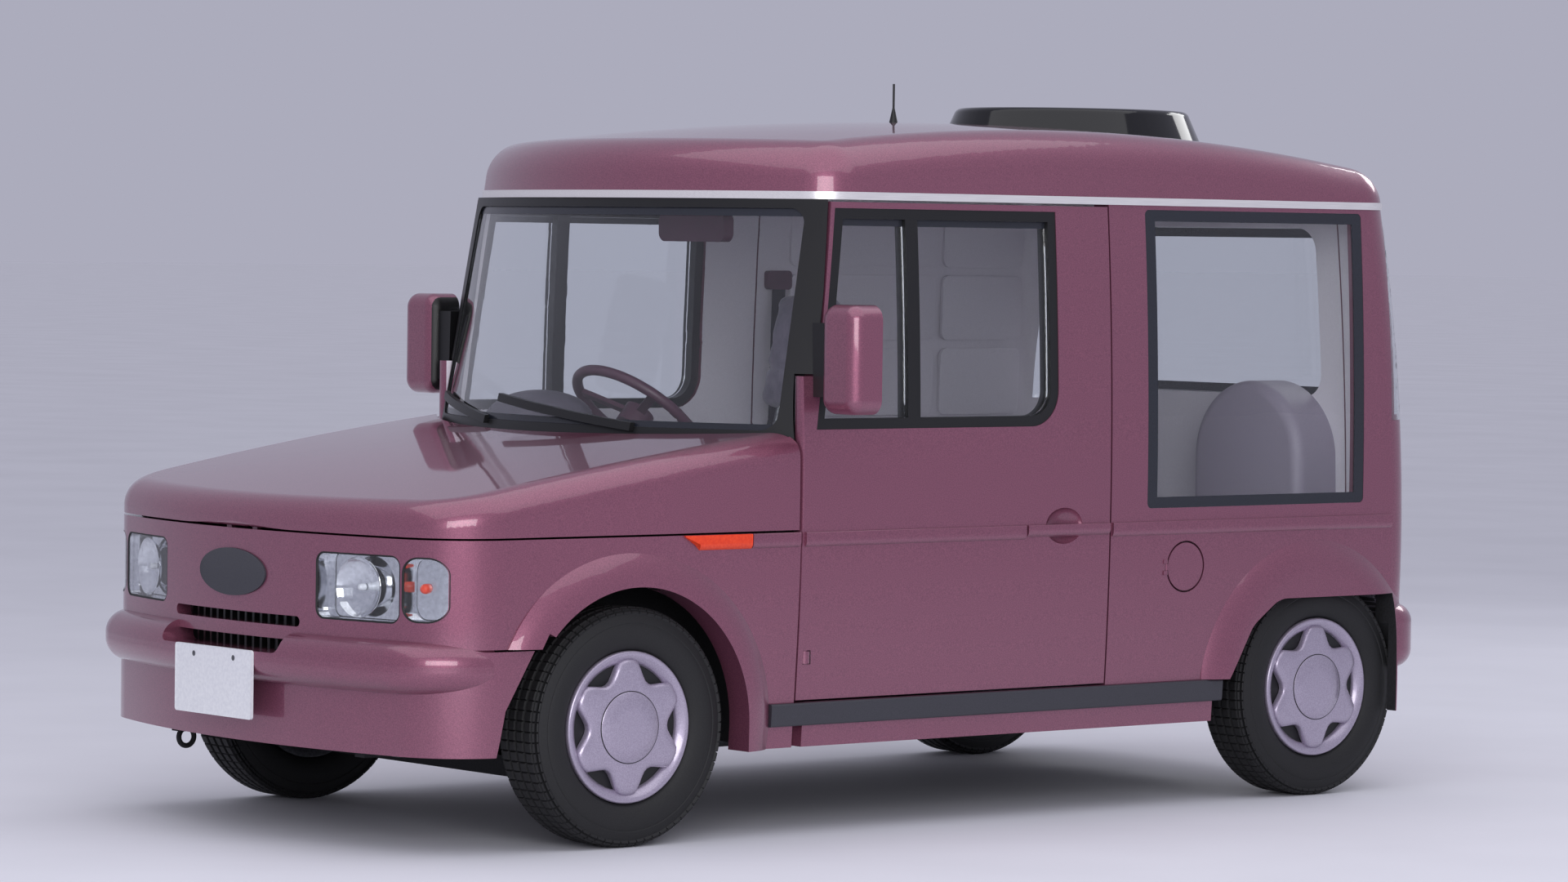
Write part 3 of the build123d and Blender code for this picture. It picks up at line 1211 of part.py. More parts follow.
write(front_subframe.part, "front_subframe")

stub_end = HALF_TRACK + HUB_X[1] - SHUT_GAP
with BuildPart() as knuckle:
    add(kingpin_post(STRUT_R, SUBFRAME_Z[0] + 2, TOWER_Z[1] - SHUT_GAP))
    add(kingpin_post(STRUT_R + 14, SUBFRAME_Z[0] + 40, TYRE_R + 110))
    add(axle_post(CARRIER_R, CARRIER_X[0], CARRIER_X[1], FRONT_AXLE_Y))
    add(axle_post(STUB_R, CARRIER_X[1] - 10, stub_end, FRONT_AXLE_Y))
write(knuckle.part, "knuckle_left")
write(mirrored(knuckle.part), "knuckle_right")

# Rear axle: beam with stubs, trailing arms to the floor's step and spring cups under the load floor
with BuildPart() as rear_axle:
    add(axle_post(BEAM_R, -CARRIER_X[1], CARRIER_X[1], REAR_AXLE_Y))
    add(axle_post(STUB_R, -stub_end, stub_end, REAR_AXLE_Y))
    for side in (-1, 1):
        with Locations((side * TRAIL_X, REAR_AXLE_Y, TYRE_R)):
            Cylinder(SPRING_R, STEP_Z - SEAT_GAP - TYRE_R, align=(Align.CENTER, Align.CENTER, Align.MIN))
            Box(40, REAR_AXLE_Y - STEP_Y - SEAT_GAP, 36, align=(Align.CENTER, Align.MAX, Align.CENTER))
write(rear_axle.part, "rear_axle")

# Engine, fuel tank and exhaust as plain masses at their places
with BuildPart() as engine_block:
    add(block((ENGINE_LOW[0], ENGINE_LOW[1], SUBFRAME_Z[1] + SEAT_GAP), ENGINE_HIGH))
    chamfer(engine_block.edges(), 20)
write(engine_block.part, "engine_block")
with BuildPart() as fuel_tank:
    add(block((-TANK_HALF, STEP_Y + 10, TANK_Z), (TANK_HALF, STEP_Y + 10 + TANK_LENGTH, STEP_Z - SEAT_GAP)))
    fillet(fuel_tank.edges().filter_by(Axis.Y), 25)
write(fuel_tank.part, "fuel_tank")
with BuildPart() as exhaust:
    pipe_x, pipe_z, pipe_r = PIPE
    silencer_y, silencer_z, silencer_r, silencer_half = SILENCER
    with BuildLine(Plane.YZ.offset(pipe_x)) as run:
        FilletPolyline(
            (ENGINE_HIGH[1] + SEAT_GAP, pipe_z + 150), (ENGINE_HIGH[1] + 110, pipe_z + 150),
            (ENGINE_HIGH[1] + 260, pipe_z), (silencer_y - 160, pipe_z), (silencer_y, silencer_z), radius=50
        )
    with BuildSketch(Plane(origin=run.line @ 0, z_dir=run.line % 0)):
        Circle(pipe_r)
    sweep()
    with Locations(Location((0, silencer_y, silencer_z), (0, 90, 0))):
        Cylinder(silencer_r, 2 * silencer_half)
    with Locations(Location((-pipe_x, silencer_y, silencer_z), (-90, 0, 0))):
        Cylinder(pipe_r, TAILPIPE, align=(Align.CENTER, Align.CENTER, Align.MIN))
    for station, base in ((0, pipe_z), (silencer_y, silencer_z)):
        top = (FLOOR_Z if station < STEP_Y else STEP_Z) - SEAT_GAP
        add(block((pipe_x - 8, station - 12, base), (pipe_x + 8, station + 12, top)))
write(exhaust.part, "exhaust")


# Wheels and tyres, turned about their axle
def tyre_at(centre_x, station):
    with BuildPart() as tyre:
        with BuildSketch(Plane(origin=(centre_x, station, TYRE_R), x_dir=(1, 0, 0), z_dir=(0, 0, 1))):
            with BuildLine():
                inside = RIM_R + SEAT_GAP
                bead = RIM_HALF_WIDTH - RIM_LIP - SEAT_GAP
                shoulder = TYRE_R - SHOULDER
                shoulder_x = TREAD_HALF_WIDTH + 10
                waist = (inside + TYRE_R) / 2
                Line((-bead, inside), (bead, inside))
                ThreePointArc((bead, inside), (TYRE_HALF_WIDTH, waist), (shoulder_x, shoulder))
                Line((shoulder_x, shoulder), (TREAD_HALF_WIDTH, TYRE_R))
                Line((TREAD_HALF_WIDTH, TYRE_R), (-TREAD_HALF_WIDTH, TYRE_R))
                Line((-TREAD_HALF_WIDTH, TYRE_R), (-shoulder_x, shoulder))
                ThreePointArc((-shoulder_x, shoulder), (-TYRE_HALF_WIDTH, waist), (-bead, inside))
            make_face()
        revolve(axis=Axis((centre_x, station, TYRE_R), (1, 0, 0)))
        for low, high in ((bead, 200), (-200, -bead)):
            flange = axle_post(RIM_FLANGE_R + SEAT_GAP, centre_x + low, centre_x + high, station)
            add(flange, mode=Mode.SUBTRACT)
    return tyre.part


def wheel_at(station):
    """Left wheel: rim barrel, dished cover with vents and a raised star, and the hub."""
    centre = (HALF_TRACK, station, TYRE_R)
    edge, lip = RIM_HALF_WIDTH, RIM_HALF_WIDTH - RIM_LIP
    face = edge + COVER_PROUD
    with BuildPart() as wheel:
        with BuildSketch(Plane(origin=centre, x_dir=(1, 0, 0), z_dir=(0, 0, 1))):
            with BuildLine():
                Polyline(
                    (-edge, RIM_FLANGE_R), (-lip, RIM_FLANGE_R), (-lip, RIM_R), (lip, RIM_R),
                    (lip, RIM_FLANGE_R), (edge, RIM_FLANGE_R), (face, RIM_R - 25)
                )
                ThreePointArc((face, RIM_R - 25), (face - 8, RIM_R - 65), (face - 6, CAP_R))
                Polyline(
                    (face - 6, CAP_R), (face, CAP_R), (face, 0), (HUB_X[0], 0), (HUB_X[0], HUB_R),
                    (HUB_X[1], HUB_R), (HUB_X[1], RIM_R - RIM_WALL), (-edge, RIM_R - RIM_WALL),
                    (-edge, RIM_FLANGE_R)
                )
            make_face()
        revolve(axis=Axis(centre, (1, 0, 0)))
        with BuildSketch(Plane.YZ.offset(HALF_TRACK)):
            with Locations((station, TYRE_R)):
                with PolarLocations(VENT_R, VENT_COUNT, start_angle=90):
                    SlotOverall(*VENT_SIZE, rotation=90)
        extrude(amount=200, mode=Mode.SUBTRACT)
        with BuildSketch(Plane.YZ.offset(HALF_TRACK + face - 14)):
            with Locations((station, TYRE_R)):
                with PolarLocations(STAR_R / 2, VENT_COUNT, start_angle=60):
                    SlotOverall(STAR_R, STAR_ARM)
        extrude(amount=14)
        add(axle_post(STUB_R + RUNNING_FIT, 0, HALF_TRACK + HUB_X[1], station), mode=Mode.SUBTRACT)
    return wheel.part


for place, station in (("front", FRONT_AXLE_Y), ("rear", REAR_AXLE_Y)):
    wheel = wheel_at(station)
    tyre = tyre_at(HALF_TRACK, station)
    for side, turn in (("left", False), ("right", True)):
        write(mirrored(wheel) if turn else wheel, f"wheel_{place}_{side}")
        write(mirrored(tyre) if turn else tyre, f"tyre_{place}_{side}")


# Dashboard with its shelf under the windscreen and the steering column
def column_post(radius, low, high):
    """A round bar along the steering column, measured from the steering wheel's centre."""
    centre = Vector(*STEERING_CENTRE)
    axis = Vector(*COLUMN_AXIS)
    with BuildPart() as post:
        with BuildSketch(Plane(origin=centre + axis * low, x_dir=(1, 0, 0), z_dir=axis)):
            Circle(radius)
        extrude(amount=high - low)
    return post.part


dash_front = BULKHEAD_Y + SEAT_GAP
dash_top = COWL_TOP_Z + SEAT_GAP + SHELF
dash_waist = COWL_TOP_Z - SEAT_GAP
dash_outline = (
    (dash_front, DASH_Z), (dash_front + 90, DASH_Z), (DASH_BACK_Y, DASH_Z + 140),
    (DASH_BACK_Y, dash_waist - 50), (DASH_BACK_Y - 40, dash_waist), (dash_front, dash_waist),
)
hood_outline = (
    (dash_front, dash_waist - 20), (DASH_BACK_Y - 45, dash_waist - 20), (DASH_BACK_Y - 60, dash_top),
    (dash_front, dash_top),
)
with BuildPart() as shelf:
    add(screen_solid(PILLAR + 7, COWL_TOP_Z + SEAT_GAP, dash_top))
    add(block((-SHELF_HALF, 2 * NOSE_Y, 0), (SHELF_HALF, dash_front + 10, TRIM_Z)), mode=Mode.INTERSECT)
with BuildPart() as dashboard:
    add(side_prism(dash_outline, -DASH_HALF, DASH_HALF))
    add(side_prism(hood_outline, -SHELF_HALF, SHELF_HALF))
    add(shelf.part)
    add(column_post(COLUMN_R, -330, -70))
    add(column_post(SHAFT_R + RUNNING_FIT, -200, 0), mode=Mode.SUBTRACT)
write(dashboard.part, "dashboard")

with BuildPart() as steering_wheel:
    wheel_plane = Plane(origin=STEERING_CENTRE, x_dir=(1, 0, 0), z_dir=COLUMN_AXIS)
    with Locations(wheel_plane.location):
        Torus(STEERING_R, RIM_GRIP_R)
        with PolarLocations(0, 3, start_angle=90):
            Box(STEERING_R, 24, 12, align=(Align.MIN, Align.CENTER, Align.CENTER))
    add(column_post(42, -40, 12))
    add(column_post(SHAFT_R, -180, 0))
write(steering_wheel.part, "steering_wheel")

# Front seats: plain padded forms on risers
with BuildPart() as seat:
    half = SEAT_HALF
    with BuildSketch(Plane.YZ.offset(SEAT_X - half)):
        with BuildLine():
            Polyline(*SEAT_OUTLINE, close=True)
        make_face()
    extrude(amount=2 * half)
    fillet(seat.edges(), 28)
    add(block((SEAT_X - 170, SEAT_OUTLINE[0][0] + 60, FLOOR_Z + FLOOR + SEAT_GAP),
              (SEAT_X + 170, SEAT_OUTLINE[0][0] + 380, SEAT_OUTLINE[0][1] + 40)))
write(pair(seat.part), "front_seats")

# Interior mirror on a stem from the screen's header
with BuildPart() as mirror_case:
    with Locations((0, CABIN_MIRROR[0], CABIN_MIRROR[1])):
        Box(*CABIN_MIRROR_SIZE)
    fillet(mirror_case.edges().filter_by(Axis.Y), 24)
with BuildPart() as interior_mirror:
    stem_z = SCREEN_HEADER_Z + 12
    share = (stem_z + STEM_R - SCREEN_LEVELS[0][0]) / (TRIM_Z - SCREEN_LEVELS[0][0])
    header_y = SCREEN_LEVELS[0][3] + share * (SCREEN_LEVELS[1][3] - SCREEN_LEVELS[0][3]) + PILLAR + SEAT_GAP
    with Locations(Location((0, header_y, stem_z), (-90, 0, 0))):
        Cylinder(STEM_R, CABIN_MIRROR[0] - header_y, align=(Align.CENTER, Align.CENTER, Align.MIN))
    drop_low = (-STEM_R, CABIN_MIRROR[0] - 2 * STEM_R, CABIN_MIRROR[1])
    add(block(drop_low, (STEM_R, CABIN_MIRROR[0], stem_z + STEM_R)))
    add(mirror_case.part)
write(interior_mirror.part, "interior_mirror")

# Wipers at rest along the foot of the windscreen
with BuildPart() as wipers:
    with BuildSketch(side_frame(0)):
        for pivot_x, tip_x, tip_z in WIPERS:
            with BuildLine():
                Polyline(
                    (pivot_x, WIPER_Z), (tip_x, tip_z), (tip_x, tip_z + WIPER_WIDE),
                    (pivot_x, WIPER_Z + WIPER_WIDE), close=True
                )
            make_face()
    extrude(amount=1000)
    add(screen_solid(-WIPER_DEEP - SEAT_GAP, COWL_TOP_Z + SEAT_GAP, TRIM_Z), mode=Mode.INTERSECT)
    add(screen_solid(-SEAT_GAP, COWL_TOP_Z, TRIM_Z), mode=Mode.SUBTRACT)
write(wipers.part, "wipers")
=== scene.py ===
# %% [markdown]
# A small concept car of the 1980s, dressed in Blender
#
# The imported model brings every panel, wheel and hinge at its real size. This lesson gives those panels
# their paint, glass and rubber, and models the small things that a solid model leaves out: the tread, the
# star-shaped wheel covers, the lamps, the belt moulding, the seats and the trim inside.
# All sizes are in metres. X points to the car's left, Y to its rear and Z up.

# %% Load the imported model
import json
import math

import bmesh
import bpy
from mathutils import Matrix, Vector

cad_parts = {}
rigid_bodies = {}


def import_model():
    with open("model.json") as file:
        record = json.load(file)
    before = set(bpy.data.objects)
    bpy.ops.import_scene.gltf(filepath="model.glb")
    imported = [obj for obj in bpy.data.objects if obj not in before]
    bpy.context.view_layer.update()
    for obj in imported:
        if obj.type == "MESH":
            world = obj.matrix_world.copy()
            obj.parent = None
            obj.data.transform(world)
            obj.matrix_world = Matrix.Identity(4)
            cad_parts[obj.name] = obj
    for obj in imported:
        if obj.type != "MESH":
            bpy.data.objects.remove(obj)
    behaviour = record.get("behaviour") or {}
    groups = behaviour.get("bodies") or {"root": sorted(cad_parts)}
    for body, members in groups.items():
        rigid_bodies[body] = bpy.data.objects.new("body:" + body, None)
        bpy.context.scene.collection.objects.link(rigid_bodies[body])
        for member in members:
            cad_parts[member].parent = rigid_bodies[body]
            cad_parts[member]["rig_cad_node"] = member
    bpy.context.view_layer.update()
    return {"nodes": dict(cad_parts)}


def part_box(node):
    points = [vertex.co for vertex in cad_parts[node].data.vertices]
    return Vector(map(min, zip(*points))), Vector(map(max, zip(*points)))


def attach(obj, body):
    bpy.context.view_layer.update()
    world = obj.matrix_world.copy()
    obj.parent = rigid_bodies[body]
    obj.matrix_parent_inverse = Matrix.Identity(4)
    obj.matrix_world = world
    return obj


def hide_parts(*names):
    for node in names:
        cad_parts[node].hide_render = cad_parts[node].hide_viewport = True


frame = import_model()
nodes = frame["nodes"]
scene = bpy.context.scene
scene.view_settings.view_transform = "Standard"
print("nodes:", len(nodes))

# %% [markdown]
# Working by hand, in code
#
# Most operators act on what is selected, so these helpers select one piece, or some of its faces or
# edges by their place, and leave the rest of the car alone. A finished piece keeps its object at the
# origin, with its place in its mesh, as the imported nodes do.

# %% Selecting and naming
X, Y, Z = 0, 1, 2
# cosines past which an edge runs along an axis, and past which a face looks along one
ALONG, FACING = 0.99, 0.9


def only(piece):
    """Selects one piece and nothing else."""
    bpy.ops.object.select_all(action="DESELECT")
    piece.select_set(True)
    bpy.context.view_layer.objects.active = piece


def named(name):
    """Names the piece just added and moves its place into its mesh."""
    piece = bpy.context.object
    piece.name = piece.data.name = name
    bpy.ops.object.transform_apply(location=True, rotation=True, scale=True)
    return piece


def place_of(item):
    """Middle of a face, an edge or a vertex."""
    if isinstance(item, bmesh.types.BMVert):
        return item.co
    if isinstance(item, bmesh.types.BMEdge):
        return (item.verts[0].co + item.verts[1].co) / 2
    return item.calc_center_median()


def choose(piece, kind, test):
    """Opens a piece in edit mode with the faces, edges or vertices that pass the test selected."""
    only(piece)
    bpy.ops.object.mode_set(mode="EDIT")
    bpy.ops.mesh.select_mode(type=kind)
    bpy.ops.mesh.select_all(action="DESELECT")
    mesh = bmesh.from_edit_mesh(piece.data)
    items = {"FACE": mesh.faces, "EDGE": mesh.edges, "VERT": mesh.verts}[kind]
    for item in items:
        if test(place_of(item), item):
            item.select_set(True)
    mesh.select_flush_mode()
    bmesh.update_edit_mesh(piece.data)


def every(place, item):
    """The test that everything passes."""
    return True


def runs_along(edge, axis):
    """True for an edge that runs along one of the three axes."""
    step = (edge.verts[1].co - edge.verts[0].co).normalized()
    return abs(step[axis]) > ALONG


# %% Shaping


def close_edit():
    """Leaves edit mode, which writes the changes to the mesh."""
    bpy.ops.object.mode_set(mode="OBJECT")


def bevel(piece, test, offset, segments):
    """Rounds the edges that pass the test."""
    choose(piece, "EDGE", test)
    bpy.ops.mesh.bevel(offset=offset, segments=segments)
    close_edit()


def inset(piece, test, thickness, depth):
    """Insets the faces that pass the test, and raises or sinks what is inside."""
    choose(piece, "FACE", test)
    bpy.ops.mesh.inset(thickness=thickness, depth=depth)
    close_edit()


def delete_faces(piece, test):
    """Deletes the faces that pass the test."""
    choose(piece, "FACE", test)
    bpy.ops.mesh.delete(type="FACE")
    close_edit()


def slice_across(piece, cuts, **settings):
    """Cuts a piece with planes; each cut is an axis and the plane's place on it."""
    choose(piece, "FACE", every)
    for axis, value in cuts:
        normal = [float(k == axis) for k in range(3)]
        bpy.ops.mesh.select_all(action="SELECT")
        bpy.ops.mesh.bisect(plane_co=[value * k for k in normal], plane_no=normal, **settings)
    close_edit()


def apply_modifier(piece, kind, **settings):
    """Adds a modifier with its settings and applies it."""
    only(piece)
    modifier = piece.modifiers.new(kind.lower(), kind)
    for key, value in settings.items():
        setattr(modifier, key, value)
    bpy.ops.object.modifier_apply(modifier=modifier.name)


def smooth(piece, degrees=35):
    """Shades a piece smooth, apart from edges sharper than the angle."""
    only(piece)
    bpy.ops.object.shade_smooth_by_angle(angle=math.radians(degrees))


# %% Starting shapes


def add_box(name, low, high):
    """A block between two corners, as a start for a piece."""
    low, high = Vector(low), Vector(high)
    bpy.ops.object.select_all(action="DESELECT")
    bpy.ops.mesh.primitive_cube_add(size=1, location=(low + high) / 2, scale=high - low)
    return named(name)


def add_ball(name, centre, half):
    """A ball with its own half size along each axis, as a start for a piece."""
    bpy.ops.object.select_all(action="DESELECT")
    bpy.ops.mesh.primitive_uv_sphere_add(
        segments=48, ring_count=24, radius=1, location=centre, scale=half
    )
    return named(name)


AXIS_TURN = {"X": (0, math.pi / 2, 0), "Y": (math.pi / 2, 0, 0), "Z": (0, 0, 0)}


def turned(name, profile, centre, axis="X", steps=64):
    """Turns a profile of (distance along the axis, radius) about a centre, one ring after the other."""
    centre = Vector(centre)
    way = Vector([1.0 if axis == letter else 0.0 for letter in "XYZ"])
    (along, radius), *rest = profile
    bpy.ops.object.select_all(action="DESELECT")
    bpy.ops.mesh.primitive_circle_add(
        vertices=steps, radius=radius, location=centre + along * way, rotation=AXIS_TURN[axis]
    )
    piece = named(name)
    bpy.ops.object.mode_set(mode="EDIT")
    bpy.ops.mesh.select_mode(type="VERT")
    bpy.ops.mesh.select_all(action="SELECT")
    for next_along, next_radius in rest:
        grow = next_radius / radius
        bpy.ops.mesh.extrude_region_move(TRANSFORM_OT_translate={"value": (next_along - along) * way})
        bpy.ops.transform.resize(
            value=[1.0 if way[k] else grow for k in range(3)], center_override=centre + next_along * way
        )
        along, radius = next_along, next_radius
    bpy.ops.mesh.select_all(action="SELECT")
    bpy.ops.mesh.remove_doubles(threshold=0.00005)
    bpy.ops.mesh.fill_holes(sides=0)
    bpy.ops.mesh.normals_make_consistent(inside=False)
    close_edit()
    return piece


# %% Copies and finishing
SIDES = ((1, "left"), (-1, "right"))
MIRROR_X = Matrix.Scale(-1, 4, (1, 0, 0))


def copied(piece, name, matrix):
    """A copy with its own mesh, moved by a matrix; a mirrored copy has its faces turned out again."""
    twin = piece.copy()
    twin.data = piece.data.copy()
    twin.name = twin.data.name = name
    scene.collection.objects.link(twin)
    twin.data.transform(matrix)
    if matrix.determinant() < 0:
        twin.data.flip_normals()
    return twin


def joined(pieces, name):
    """Several pieces as one mesh."""
    only(pieces[0])
    for piece in pieces:
        piece.select_set(True)
    bpy.ops.object.join()
    pieces[0].name = pieces[0].data.name = name
    return pieces[0]


def node_copy(node, name):
    """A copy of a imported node's mesh, for a piece that stands for the node."""
    twin = nodes[node].copy()
    twin.data = nodes[node].data.copy()
    twin.name = twin.data.name = name
    del twin["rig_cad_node"]
    twin.parent = None
    scene.collection.objects.link(twin)
    return twin


def merged(piece):
    """Joins the loose triangles of a copied node, for a copy that is cut or reshaped."""
    only(piece)
    bpy.ops.mesh.customdata_custom_splitnormals_clear()
    choose(piece, "VERT", every)
    bpy.ops.mesh.remove_doubles(threshold=0.00002)
    close_edit()
    return piece


def coat(piece, *finishes):
    """Gives a piece its finishes, in the order of its faces' material numbers."""
    piece.data.materials.clear()
    for finish in finishes:
        piece.data.materials.append(finish)


def dress(piece, body, slot, *finishes):
    """Gives a piece its finishes, where it has none yet, and fixes it to a body."""
    if finishes:
        coat(piece, *finishes)
    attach(piece, body)
    return piece


def discard(*pieces):
    """Removes patterns and cutters that aren't part of the car."""
    for piece in pieces:
        bpy.data.objects.remove(piece)


# %% [markdown]
# Finishes
#
# Each finish starts from what the real surface is. A colour is written as the sRGB value that the eye
# sees, and one function turns it to the linear value that the shader needs. Patterns read Object
# coordinates, so a pattern that is 3 mm across on the car is written as 3 mm here.

# %% Colours and nodes


def colour(code):
    """Linear RGBA from an sRGB hex value."""
    parts = [int(code[k : k + 2], 16) / 255 for k in (0, 2, 4)]
    return [c / 12.92 if c <= 0.04045 else ((c + 0.055) / 1.055) ** 2.4 for c in parts] + [1.0]


def add_node(finish, kind, inputs, **settings):
    """Adds one node to a finish, sets it up, and sets or links its inputs."""
    tree = finish.node_tree
    node = tree.nodes.new("ShaderNode" + kind)
    for key, value in settings.items():
        setattr(node, key, value)
    for socket, value in inputs.items():
        if isinstance(value, bpy.types.NodeSocket):
            tree.links.new(value, node.inputs[socket])
        else:
            node.inputs[socket].default_value = value
    return node


def new_finish(name, **sockets):
    """A finish with one shader, whose plain sockets are set by name."""
    finish = bpy.data.materials.new(name)
    finish.use_nodes = True
    shader = finish.node_tree.nodes["Principled BSDF"]
    for socket, value in sockets.items():
        shader.inputs[socket.replace("_", " ")].default_value = value
    return finish


def link(finish, output, socket):
    """Links a node's output to a socket of the finish's shader."""
    shader = finish.node_tree.nodes["Principled BSDF"]
    finish.node_tree.links.new(output, shader.inputs[socket])


# the noise seldom leaves the middle of its range, so the colours meet these two values of it
NOISE_DARK, NOISE_LIGHT = 0.3, 0.7


def spread(finish, grain_mm, dark, light, detail=3.0, stretch=(1, 1, 1)):
    """A soft pattern between two colours on the base colour; the grain is its size in millimetres."""
    place = add_node(finish, "TexCoord", {})
    scaled = add_node(finish, "Mapping", {"Vector": place.outputs["Object"], "Scale": stretch})
    noise = add_node(
        finish, "TexNoise", {"Vector": scaled.outputs[0], "Scale": 1000 / grain_mm, "Detail": detail}
    )
    ramp = add_node(finish, "ValToRGB", {"Fac": noise.outputs["Fac"]})
    first, last = ramp.color_ramp.elements
    first.position, last.position = NOISE_DARK, NOISE_LIGHT
    first.color, last.color = colour(dark), colour(light)
    link(finish, ramp.outputs["Color"], "Base Color")
    return scaled, noise


def dent(finish, height, deep_mm, strength):
    """Bump from a height pattern."""
    bump = add_node(
        finish, "Bump", {"Height": height, "Distance": deep_mm / 1000, "Strength": strength}
    )
    link(finish, bump.outputs["Normal"], "Normal")


# the wave node's phase, in radians, for one unit of its scaled coordinate
WAVE_PHASE = 20


def wave_scale(pitch_mm):
    """Scale at which the waves of the wave node are a pitch apart."""
    return 2 * math.pi * 1000 / (WAVE_PHASE * pitch_mm)


# %% [markdown]
# Paint, glass, rubber and trim
#
# The body is painted in a plum metallic under clear lacquer: flakes break up the colour a little, and the
# lacquer gives a second, sharper reflection. Moulded trim has a fine grain, tyre rubber is dull, and the
# lamp glasses are fluted. Flakes, grain, flutes and threads are far too fine to show at this distance, so
# they are drawn several times too coarse.

# %% Outer finishes
FLAKE_MM, ORANGE_PEEL_MM = 2.5, 14


def metallic_paint(name, dark, light, metallic):
    """Two-coat metallic paint: flakes in the base, a faint orange peel, and a clear lacquer."""
    finish = new_finish(
        name, Metallic=metallic, Roughness=0.36, Coat_Weight=1.0, Coat_Roughness=0.04, Coat_IOR=1.5
    )
    scaled, _ = spread(finish, FLAKE_MM, dark, light, detail=1.0)
    peel = add_node(finish, "TexNoise", {"Vector": scaled.outputs[0], "Scale": 1000 / ORANGE_PEEL_MM})
    dent(finish, peel.outputs["Fac"], deep_mm=0.05, strength=0.12)
    return finish


def moulded(name, dark, light, rough, grain_mm=2.0, deep_mm=0.25):
    """Moulded plastic with a fine leather-like grain."""
    finish = new_finish(name, Roughness=rough)
    _, noise = spread(finish, grain_mm, dark, light, detail=5.0)
    dent(finish, noise.outputs["Fac"], deep_mm, strength=0.35)
    return finish


def clear(name, tint, rough, **sockets):
    """Glass or clear plastic; shadow rays pass straight through, so that the cabin is lit."""
    finish = new_finish(
        name, Base_Color=colour(tint), Transmission_Weight=1.0, Roughness=rough, **sockets
    )
    tree = finish.node_tree
    path = add_node(finish, "LightPath", {})
    through = add_node(finish, "BsdfTransparent", {"Color": colour(tint)})
    shader = tree.nodes["Principled BSDF"]
    sources = {0: path.outputs["Is Shadow Ray"], 1: shader.outputs[0], 2: through.outputs[0]}
    mixed = add_node(finish, "MixShader", sources)
    tree.links.new(mixed.outputs[0], tree.nodes["Material Output"].inputs["Surface"])
    return finish


def fluted(finish, axis, pitch_mm, deep_mm):
    """Rounded flutes across a lamp glass, which break up what is seen through it."""
    place = add_node(finish, "TexCoord", {})
    wave = add_node(
        finish, "TexWave", {"Vector": place.outputs["Object"], "Scale": wave_scale(pitch_mm)},
        bands_direction=axis,
    )
    dent(finish, wave.outputs["Fac"], deep_mm, strength=1.0)


# metallic paints: a soft sparkle under a sharp reflection
body_paint = metallic_paint("plum_metallic_paint", "78435a", "90546a", metallic=0.55)
cover_paint = metallic_paint("lilac_silver_paint", "9d93a8", "b5abbf", metallic=0.6)
# moulded plastics and rubbers: from a dull sheen on a grain to the gloss of tinted acrylic
black_trim = moulded("black_moulded_trim", "08080a", "111113", rough=0.42)
grey_moulding = moulded("dark_grey_moulding", "2c2c33", "3a3a42", rough=0.45)
window_print = moulded("window_print", "1d1f27", "272a33", rough=0.22, deep_mm=0.02)
gloss_black = moulded("dark_tinted_acrylic", "08080a", "0e0e11", rough=0.07, deep_mm=0.01)
tyre_rubber = moulded("tyre_rubber", "101012", "1b1b1d", rough=0.68, grain_mm=3.0)
gasket_rubber = moulded("gasket_rubber", "08080a", "111113", rough=0.55)
plate_paint = moulded("white_plate_enamel", "d5d6dd", "e2e3e8", rough=0.3, grain_mm=8.0, deep_mm=0.05)
amber_block = moulded("amber_repeater", "d2371a", "e0451f", rough=0.12, grain_mm=6.0, deep_mm=0.1)
# anodised aluminium: bright, with a faint brushing along the car
bright_trim = new_finish("satin_anodised_aluminium", Metallic=0.55, Roughness=0.3)
_, brushed = spread(bright_trim, 4.0, "d9d6d9", "f1eff0", detail=2.0, stretch=(1, 0.05, 8))
dent(bright_trim, brushed.outputs["Fac"], deep_mm=0.02, strength=0.2)
# glass and clear plastics: seen through, with a sharp reflection
window_glass = clear("window_glass", "f4f7f8", rough=0.0, IOR=1.45)
lamp_glass = clear("fluted_lamp_glass", "f6f8fa", rough=0.02, IOR=1.5)
fluted(lamp_glass, "X", pitch_mm=56.55, deep_mm=0.35)
amber_lens = clear("amber_lens", "ff7a1c", rough=0.05, IOR=1.49)
fluted(amber_lens, "Y", pitch_mm=37.7, deep_mm=0.5)
red_lens = clear("red_lens", "d01020", rough=0.05, IOR=1.49)
fluted(red_lens, "X", pitch_mm=43.98, deep_mm=0.6)
print("outer finishes ready")

# %% Metals, underside and cabin finishes
# plated and silvered metal: almost a mirror
chrome = new_finish("vacuum_plated_reflector", Metallic=1.0, Roughness=0.09)
spread(chrome, 12.0, "dcdde0", "f2f3f5")
mirror_glass = new_finish("silvered_mirror", Metallic=1.0, Roughness=0.02)
spread(mirror_glass, 60.0, "c3c8ce", "d2d6da")
# rolled and cast metal: dull, with the marks of the mill and of the sand
steel = new_finish("rolled_steel", Metallic=0.9, Roughness=0.42)
_, mill = spread(steel, 6.0, "5d5e62", "77787c", detail=4.0)
dent(steel, mill.outputs["Fac"], deep_mm=0.1, strength=0.2)
cast_metal = new_finish("cast_aluminium", Metallic=0.8, Roughness=0.55)
_, sand = spread(cast_metal, 3.0, "6e6f73", "8b8c90", detail=4.0)
dent(cast_metal, sand.outputs["Fac"], deep_mm=0.4, strength=0.5)
